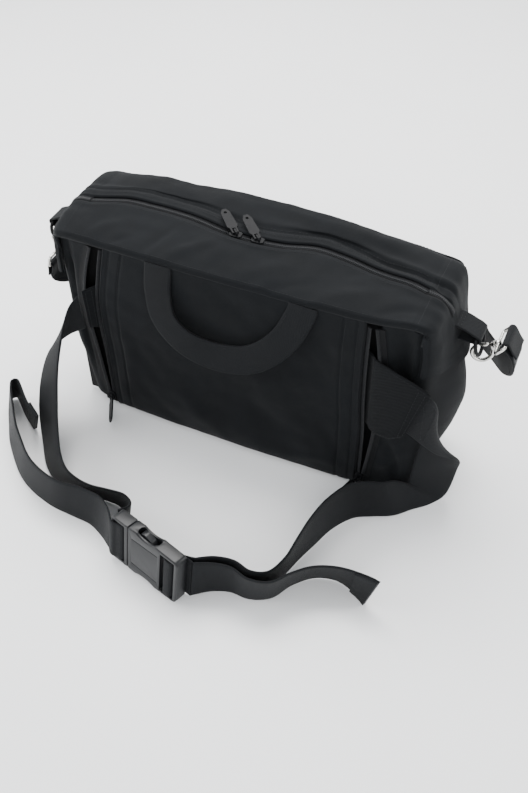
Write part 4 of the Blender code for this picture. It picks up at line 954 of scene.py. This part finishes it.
LEFT_TAIL_ROUTE = route(
    "-68 -229 28.5 0.16 0.14 0.97, -86 -219.5 26 0.24 0.15 0.95, -112 -217 25 0.24 0.14 0.95, "
    "-142 -216 25.2 0.32 0.05 0.94, -180.7 -201.6 25.2 0.4 -0.02 0.91, -218.8 -169.3 24.5 0.46 -0.12 0.87, "
    "-242 -142 24.5 0.42 -0.17 0.89, -260 -118 24.6 0.36 -0.16 0.92, -265.5 -108 24.8 0.34 -0.14 0.93, "
    "-261 -103 25 0.34 -0.18 0.93, -253 -108 24.8 0.36 -0.22 0.91, -233 -125 24.5 0.38 -0.25 0.89, "
    "-211 -140 24.5 0.39 -0.26 0.88")
SHOULDER_ROUTE = route(
    "270 0 203 0 1 0, 273.5 2 188 0 1 0, 269 13 170 -0.2 0.95 0.2, 256 32 154 -0.4 0.75 0.5, "
    "240 56 146 -0.3 0.3 0.9, 224 76 142 0 0.1 1, 200 88 132 0 0.1 1, 165 93 110 0 0.15 1, "
    "125 98 76 0 0.25 1, 85 106 42 0 0.25 1, 40 115 22 0 0.1 1, -10 118 19.5 0 0 1, -50 118 19.5 0 0 1, "
    "-90 118 19.5 0 0 1, -130 118 19.5 0 0 1, -165 125 17 0 0 1, -182 143 17 0 0 1, -165 161 17 0 0 1, "
    "-120 166 17 0 0 1, -40 164 17 0 0 1, 30 160 17 0 0 1, 70 166 17 0 0 1, 86 184 17 0 0 1, "
    "70 202 17 0 0 1, 20 206 17 0 0 1, -60 204 17 0 0 1, -130 206 17 0 0 1, -185 200 18 0 0 1, "
    "-215 176 30 0 0 1, -222 140 58 0 0.1 1, -219 105 88 0 0.2 1, -223 74 106 0 0.3 0.95, "
    "-233 46 112 0.1 0.5 0.85, -244 20 115 0.1 0.85 0.5, -250 5 123 0.03 0.98 0.15, -250 0 134.5 0 1 0")
# Places in x and z, millimetres: the tab from the bag round the D ring's bar, the belt round the buckle's bars
RING_TAB = (
    "208.5 220, 220 217.5, 232 212.5, 237.8 209, 235.5 204.2, 222 204.5, 208.5 206")
FEMALE_TURNS = (
    "-47.8 14.6, -44 12.4, -39 10, -33.5 7.8, -28.5 6.6, -26.3 3.5, -26.3 -3, -28.5 -6.4, -32.5 -6.9, "
    "-36 -6.2, -37.7 -2.5, -37.8 3, -39.2 7, -43 9, -50 9.1")
MALE_TURNS = (
    "49.8 6.6, 46.2 9, 42.5 9.2, 38.5 7.8, 34.5 6.8, 30.8 5.8, 29.7 2.5, 29.7 -2.5, 30.8 -6, 34.4 -6.7, "
    "38.5 -7.4, 42 -8.8, 46 -8, 51 -4.5")
RIGHT_WING_WIDTHS = (0.098, 0.098, 0.098, 0.096, 0.092, 0.08, 0.062)
LEFT_WING_WIDTHS = (0.08, 0.08, 0.072, 0.06, 0.052)
BELT_THICK = 0.0024
HEM_LENGTH = 0.026


def strap(name, path, width, thick, step, body, *nodes, look="webbing", waver=0.0005, cup=0.0, blend=None, **lies):
    """A web with its piece, put on its body."""
    web = Web(path, width, thick, step, cup)
    finished(web.piece(name, look, waver), body, "black_webbing", *nodes, blend=blend)
    float(np.mean(web.width)) if np.ndim(width) else width
    return web


def make_handle():
    handle = strap("carry_handle_web", HANDLE_ROUTE, 0.03, 0.003, 0.004, "carry_handle", "carry_handle", cup=0.0009,
                   held="hung", rests_on=["top_front_flap"])
    end = handle.length()
    for side in (-1, 1):
        for a in (-0.4, 0.4):
            for low, high in ((0.013, 0.034), (end - 0.034, end - 0.013)):
                stitch_row(sewn("carry_handle"), *handle.line(low, high, a, side))


def make_wings():
    for name, path, widths in (("right", RIGHT_WING_ROUTE, RIGHT_WING_WIDTHS),
                               ("left", LEFT_WING_ROUTE, LEFT_WING_WIDTHS)):
        wing = strap(name + "_belt_wing_cloth", path, widths, 0.0025, 0.003, "bag", name + "_belt_wing", look="wing",
                     waver=0.0012, held="laid", rests_on=["front_wall"])
        end = wing.length()
        for side in (-1, 1):
            for at in (end - 0.003, end - 0.0085):
                stitch_row(sewn("bag"), *wing.bar(at, side, 0.45))
            for a in (-0.465, 0.465):
                stitch_row(sewn("bag"), *wing.line(end * 0.45, end - 0.002, a, side))


def make_hem(web, name, body, path, width, side):
    """The turned-over end of a tail, sewn across."""
    hem = Web(path, width, BELT_THICK * 0.9, 0.0035)
    pick = [i for i in range(len(hem.run)) if hem.run[i] >= web.length() - HEM_LENGTH]
    for key in ("mid", "cross", "face", "width"):
        setattr(hem, key, getattr(hem, key)[pick])
    hem.run = hem.run[pick] - hem.run[pick[0]]
    hem.mid = hem.mid + hem.face * side * BELT_THICK * 0.92
    finished(hem.piece(name), body, "black_webbing")
    for at in (0.004, 0.009):
        points, out = hem.bar(at, side)
        stitch_row(sewn(body), points, out)
        stitch_row(sewn(body), points - out * (BELT_THICK * 1.9), -out)


def make_belt():
    across = tuple(BUCKLE_FRAME.to_3x3() @ Vector((0, 1, 0)))
    wraps = [[(tuple(BUCKLE_FRAME @ Vector((x / 1000, -0.001, z / 1000))), across) for x, z in table(turns)]
             for turns in (FEMALE_TURNS, MALE_TURNS)]
    reach = ((-0.144, -0.192, 0.0235), (-0.05, -0.22, 0.029))
    for name, body, strap_path, tail_path, wrap, blend, side in (
            ("right_belt_", "bag", RIGHT_STRAP_ROUTE, RIGHT_TAIL_ROUTE, wraps[0], None, 1),
            ("left_belt_", "buckle_male", LEFT_STRAP_ROUTE, LEFT_TAIL_ROUTE, wraps[1], reach, -1)):
        web = strap(name + "strap_web", strap_path + [wrap[0]], 0.05, BELT_THICK, 0.0035, body, name + "strap",
                    blend=blend, held="laid")
        if body == "bag":
            box_stitch(web, 0.004, 0.03)
        path = [wrap[-1]] + tail_path
        web = strap(name + "tail_web", path, 0.049, BELT_THICK, 0.0035, body, name + "tail", held="laid")
        make_hem(web, name + "tail_hem", body, path, 0.049, side)
    return wraps


def make_webbing():
    make_handle()
    make_wings()
    wraps = make_belt()
    web = strap("shoulder_strap_web", SHOULDER_ROUTE, 0.03, 0.002, 0.005, "bag", "shoulder_strap", held="folded")
    for start in (0.006, web.length() - 0.045):
        box_stitch(web, start, start + 0.036)
    for name, body, wrap in (("right", "bag", wraps[0]), ("left", "buckle_male", wraps[1])):
        strap(name + "_belt_wrap_web", wrap, 0.05, 0.0023, 0.0015, body, waver=0.0001, held="folded")
    for name, sign in SIDES:
        path = [((sign * x / 1000, 0, z / 1000), (0, sign, 0)) for x, z in table(RING_TAB)]
        tab = strap(name + "_ring_tab_web", path, 0.025, 0.002, 0.0015, "bag", name + "_ring_tab", waver=0.0002,
                    held="folded", rests_on=["top_%s_gusset" % name])
        for side in (-1, 1):
            for at in (0.006, 0.009):
                stitch_row(sewn("bag"), *tab.bar(at, side), radius=0.0003)
    for name, sign in SIDES:
        make_strap_loop(name + "_strap_loop_web", Vector(SHOULDER_ROUTE[0 if sign > 0 else -1][0]), HOOK_EYES[sign])


def make_strap_loop(name, end, bar):
    """The strap's end turned round the hook's eye: from one face of the strap, round the bar, to the other."""
    ahead = (bar - end).normalized()
    off = Vector((ahead.z, 0, -ahead.x))
    half = ((end, -0.004, 0.0021), (end, 0.002, 0.0021), (bar, -0.0035, 0.0029), (bar, 0, 0.0031),
            (bar, 0.0022, 0.0022))
    places = [at + ahead * a + off * b for at, a, b in half] + [bar + ahead * 0.0031]
    places += [at + ahead * a - off * b for at, a, b in half[::-1]]
    strap(name, [(tuple(p), (0, 1, 0)) for p in places], 0.03, 0.0018, 0.0015, "bag", waver=0.0001, held="folded")


# ---------------------------------------------------------------- moulded and metal pieces

def round_edges(obj, bevel, segments=3, angle=30):
    return changed(obj, "BEVEL", width=bevel, segments=segments, limit_method="ANGLE", angle_limit=math.radians(angle),
                   miter_outer="MITER_ARC")


def seated(obj, place, sharp=32):
    obj.data.transform(place)
    return smoothed(obj, sharp)


def prism(outline, low, high, axes=(0, 1, 2)):
    """Points and faces of a straight solid: the outline in the first two axes, low to high in the third."""
    n = len(outline)
    verts = []
    for level in (low, high):
        for u, v in outline:
            p = [0, 0, 0]
            p[axes[0]], p[axes[1]], p[axes[2]] = u, v, level
            verts.append(p)
    faces = [tuple(range(n)), tuple(range(n, 2 * n))[::-1]]
    return verts, faces + [(i, (i + 1) % n, n + (i + 1) % n, n + i) for i in range(n)]


def rounded(corners, radius, steps=5):
    """An outline with each corner turned into an arc; a radius for all, or one for each corner."""
    count = len(corners)
    radii = [radius] * count if isinstance(radius, (int, float)) else radius
    found = []
    for i, r in enumerate(radii):
        p = Vector(corners[i])
        sides = [Vector(corners[k]) - p for k in (i - 1, (i + 1) % count)]
        a, b = (s.normalized() for s in sides)
        reach = min(r / math.tan(a.angle(b) / 2), sides[0].length * 0.48, sides[1].length * 0.48)
        start, end = p + a * reach, p + b * reach
        for t in (k / steps for k in range(steps + 1)):
            found.append(tuple(start * (1 - t) ** 2 + p * 2 * t * (1 - t) + end * t ** 2))
    return found


def cut(obj, solid, operation="DIFFERENCE"):
    tool = new_piece("tool", *solid, "plastic", sharp=0)
    changed(obj, "BOOLEAN", operation=operation, object=tool, solver="EXACT")
    bpy.data.objects.remove(tool, do_unlink=True)


def block(low, high, radius, axes=(0, 1, 2)):
    """A straight solid from corner to corner, rounded in its first two axes."""
    a, b, c = axes
    corners = [(low[a], low[b]), (high[a], low[b]), (high[a], high[b]), (low[a], high[b])]
    return prism(rounded(corners, radius, 6), low[c], high[c], axes)


def tube(points, radius, sides=18, closed=False):
    """Points and faces of a round bar through points; the radius may change along it."""
    pts = [Vector(p) for p in points]
    count = len(pts)
    radii = [radius] * count if isinstance(radius, (int, float)) else radius
    side, verts = None, []
    for i, p in enumerate(pts):
        ends = ((i + 1) % count, i - 1) if closed else (min(i + 1, count - 1), max(i - 1, 0))
        along = (pts[ends[0]] - pts[ends[1]]).normalized()
        side = along.orthogonal() if side is None else side
        side = (side - along * side.dot(along)).normalized()
        other = along.cross(side)
        for angle in (2 * math.pi * k / sides for k in range(sides)):
            verts.append(p + radii[i] * (math.cos(angle) * side + math.sin(angle) * other))
    return verts, skin(count, sides, closed=closed)


def frame_at(place, x, y, z):
    return Matrix.Translation(place) @ Matrix((x, y, z)).transposed().to_4x4()


# The buckle's frame: X along it to its male end, Y across it and up, Z to its back
BUCKLE_LENGTH, BUCKLE_WIDTH, BUCKLE_THICK = 0.09, 0.062, 0.015
BUCKLE_CENTRE = Vector((-0.0045, -0.25, 0.0322))
BUCKLE_AXIS = Vector((-0.959, 0.284, 0.0)).normalized()
BUCKLE_UP = Vector((0.044, 0.148, 0.988)).normalized()
BUCKLE_BACK = BUCKLE_AXIS.cross(BUCKLE_UP).normalized()
BUCKLE_FRAME = frame_at(BUCKLE_CENTRE, BUCKLE_AXIS, BUCKLE_BACK.cross(BUCKLE_AXIS), BUCKLE_BACK)
BUCKLE_MOUTH = 0.022
WINDOW = 0.0262
BAR_HALF = 0.0052
THROUGH = 0.02
ARM = ((0.0014, -0.0024), (0.0014, 0.0024), (-0.012, 0.0046), (-0.0128, 0.0112), (-0.0185, 0.0126),
       (-0.027, 0.009), (-0.031, 0.004), (-0.031, 0.0004), (-0.026, -0.0006))
ARM_RADII = (0.0006, 0.0006, 0.002, 0.003, 0.006, 0.006, 0.002, 0.001, 0.003)


def web_slots(obj, first, second):
    """Two slots for the web, with the bar between them set back from both faces."""
    for low, high in (first, second):
        cut(obj, block((low, -WINDOW, -THROUGH), (high, WINDOW, THROUGH), 0.0012))
    for low, high in ((-THROUGH, -BAR_HALF), (BAR_HALF, THROUGH)):
        cut(obj, block((first[0], -WINDOW, low), (second[1], WINDOW, high), 0.0012))


def make_buckle():
    half, thick, end = BUCKLE_WIDTH / 2, BUCKLE_THICK / 2, -BUCKLE_LENGTH / 2
    corners = [(BUCKLE_MOUTH, -half + 0.0012), (BUCKLE_MOUTH, half - 0.0012), (-0.006, half),
               (end + 0.024, half - 0.0012), (end, half - 0.002), (end, -half + 0.002),
               (end + 0.024, -half + 0.0012), (-0.006, -half)]
    outline = rounded(corners, (0.002, 0.002, 0.02, 0.02, 0.0055, 0.0055, 0.02, 0.02))
    obj = new_piece("buckle_female_body", *prism(outline, -thick, thick), "plastic", sharp=0)
    for side in (-1, 1):
        waist = [(-0.0022 + 0.0165 * math.cos(a), side * (half + 0.0042) + 0.0078 * math.sin(a))
                 for a in np.linspace(0, 2 * math.pi, 48, endpoint=False)]
        cut(obj, prism(waist, -THROUGH, THROUGH))
    round_edges(obj, 0.0024, 4, 40)
    cut(obj, block((BUCKLE_MOUTH - 0.036, -0.0245, -0.0045), (BUCKLE_MOUTH + 0.01, 0.0245, 0.0045), 0.002, (1, 2, 0)))
    cut(obj, block((-0.0165, -half - 0.01, -0.0047), (0.012, half + 0.01, 0.0047), 0.0045, (0, 2, 1)))
    web_slots(obj, (end + 0.0038, end + 0.0105), (end + 0.0145, end + 0.0225))
    for side in (-1, 1):
        groove = [(-0.019, side * 0.0185), (0.0165, side * 0.017), (0.0165, side * 0.0178), (-0.019, side * 0.0193)]
        for low, high in ((-thick - 0.001, -thick + 0.0004), (thick - 0.0004, thick + 0.001)):
            cut(obj, prism(groove, low, high))
    finished(seated(round_edges(obj, 0.0004, 2, 50), BUCKLE_FRAME, 35), "bag", "black_acetal", "buckle_female")

    low, reach, half = BUCKLE_MOUTH + 0.0004, BUCKLE_LENGTH / 2, BUCKLE_WIDTH / 2 - 0.0015
    outline = rounded([(low, -half), (low, half), (reach, half), (reach, -half)], (0.0015, 0.0015, 0.005, 0.005))
    obj = new_piece("buckle_male_body", *prism(outline, -thick, thick), "plastic", sharp=0)
    round_edges(obj, 0.0019, 4, 40)
    web_slots(obj, (low + 0.0045, low + 0.0105), (low + 0.0135, low + 0.0192))
    cut(obj, block((-0.012, -0.004, -0.0028), (low + 0.002, 0.004, 0.0028), 0.0015), "UNION")
    finished(seated(round_edges(obj, 0.0004, 2, 50), BUCKLE_FRAME, 35), "buckle_male", "black_acetal", "buckle_male")

    for name, side in (("upper", 1), ("lower", -1)):
        outline = rounded([(x, side * y) for x, y in ARM][::side], ARM_RADII[::side])
        obj = new_piece("release_arm_%s_body" % name, *prism(outline, -0.0036, 0.0036), "plastic", sharp=0)
        place = BUCKLE_FRAME @ Matrix.Translation((0.0205, side * 0.018, 0))
        finished(seated(round_edges(obj, 0.0007, 3, 40), place), "release_arm_" + name, "black_acetal",
                 "release_arm_" + name)


RING_BAR = Vector((0.234, 0.0, 0.208))
HOOK_CENTRE = Vector((0.239, 0.0, 0.1835))
HOOK_EYES = {-1: Vector((-0.2475, 0.0, 0.147)), 1: Vector((0.262, 0.0, 0.213))}
HOOK_RADIUS = 0.0085
# In the hook's frame, whose Z leads to its eye: the shank's line, and the stations of its barrel and the eye's boss
SHANK = ((0.0, 0.0195), (0.0, 0.0175), (0.0012, 0.016), (0.003, 0.0145), (0.005, 0.0122), (0.0068, 0.01),
         (0.0079, 0.0075), (0.0084, 0.005), (0.00855, 0.0025))
BARREL = (0.0155, 0.0158, 0.0164, 0.0172, 0.018, 0.0188, 0.0196, 0.0204, 0.0211, 0.0215)
BARREL_RADII = (0.0034, 0.004, 0.0042, 0.0042, 0.0038, 0.0038, 0.0042, 0.0042, 0.004, 0.0034)
BOSS = (0.0219, 0.0222, 0.023, 0.0245, 0.0258, 0.0265)
BOSS_RADII = (0.003, 0.0036, 0.0036, 0.0034, 0.0026, 0.0016)
GATE_PIVOT = Vector((-0.0046, 0, 0.0136))
GATE_TIP = Vector((-0.0079, 0, 0.0076))
EYE_HALF, EYE_LOW = 0.0175, 0.0245


def ring_points(half, drop, corner):
    """A D outline: its straight bar on the origin along Y, its bow reaching to -Z."""
    points = [(0, y, 0) for y in np.linspace(half - corner, -half + corner, 8)]
    for way, turns in ((-1, range(1, 7)), (0, range(33)), (1, range(6, 0, -1))):
        for k in turns:
            if way:
                angle = math.pi / 2 * k / 7
                y, z = half - corner + corner * math.sin(angle), -corner + corner * math.cos(angle)
                points.append((0, way * y, z))
            else:
                angle = math.pi * k / 32
                points.append((0, -half * math.cos(angle), -corner - (drop - corner) * math.sin(angle)))
    return points


def make_hardware():
    for name, side in SIDES:
        bar, centre = (Vector((side * p.x, p.y, p.z)) for p in (RING_BAR, HOOK_CENTRE))
        hang = (centre - bar).normalized()
        obj = new_piece("d_ring_%s_body" % name, *tube(ring_points(0.0152, 0.0242, 0.004), 0.0018, 16, True),
                        "zip_metal", sharp=0)
        place = frame_at(bar, Vector((0, 1, 0)).cross(-hang).normalized(), (0, 1, 0), -hang)
        finished(seated(obj, place), "d_ring_" + name, "dark_zip_metal", "d_ring_" + name)

        across, reach = Vector((0, side, 0)), HOOK_EYES[side] - centre
        axis = reach.normalized()
        place = frame_at(centre, across.cross(axis).normalized(), across, axis)
        path = [(x, 0, z) for x, z in SHANK]
        path += [(HOOK_RADIUS * math.cos(a), 0, -HOOK_RADIUS * math.sin(a)) for a in np.linspace(0, math.pi, 25)]
        path += [(-0.0085, 0, 0.0018), (-0.0083, 0, 0.0036)]
        radii = [0.003, 0.0027] + [0.0021] * (len(path) - 5) + [0.002, 0.0018, 0.0015]
        obj = new_piece("snap_hook_%s_body" % name, *tube(path, radii, 16), "nickel", sharp=0)
        cut(obj, tube([(0, 0, z) for z in BARREL], BARREL_RADII, 24), "UNION")
        finished(seated(obj, place, 38), "snap_hook_" + name, "nickel", "snap_hook_" + name)

        tip = GATE_TIP - GATE_PIVOT
        turn = Vector((0, 0, 1)).rotation_difference(-tip.normalized()).to_matrix().to_4x4()
        corners = [(-0.0021, -tip.length), (0.0021, -tip.length), (0.0021, 0.0006), (-0.0021, 0.0006)]
        obj = new_piece("snap_gate_%s_body" % name, *prism(rounded(corners, 0.0009, 4), -0.0008, 0.0008, (1, 2, 0)),
                        "nickel", sharp=0)
        finished(seated(round_edges(obj, 0.00025, 2), place @ Matrix.Translation(GATE_PIVOT) @ turn),
                 "snap_gate_" + name, "nickel", "snap_gate_" + name)

        far = reach.length
        corners = rounded([(EYE_HALF, far), (-EYE_HALF, far), (-EYE_HALF, EYE_LOW), (EYE_HALF, EYE_LOW)], 0.0042, 8)
        obj = new_piece("snap_eye_%s_body" % name, *tube([(0, y, z) for y, z in corners], 0.0017, 14, True), "nickel",
                        sharp=0)
        cut(obj, tube([(0, 0, z) for z in BOSS], BOSS_RADII, 20), "UNION")
        finished(seated(obj, place, 38), "bag", "nickel", "snap_eye_" + name)


def make_floor():
    obj = new_piece("floor", [(-4, -4, 0), (4, -4, 0), (4, 4, 0), (-4, 4, 0)], [(0, 1, 2, 3)], "board", sharp=0)
    obj.data.materials[0] = floor_look()


# ---------------------------------------------------------------- everything together

make_camera()
make_light()
make_floor()
look_on_cad()
make_top()
hoods = {side: make_hood(side, name) for name, side in SIDES}
make_shell()
make_bottom()
make_board()
make_inner_wall()
make_front_panel()
make_zips(hoods)
make_webbing()
make_buckle()
make_hardware()
make_stitches()
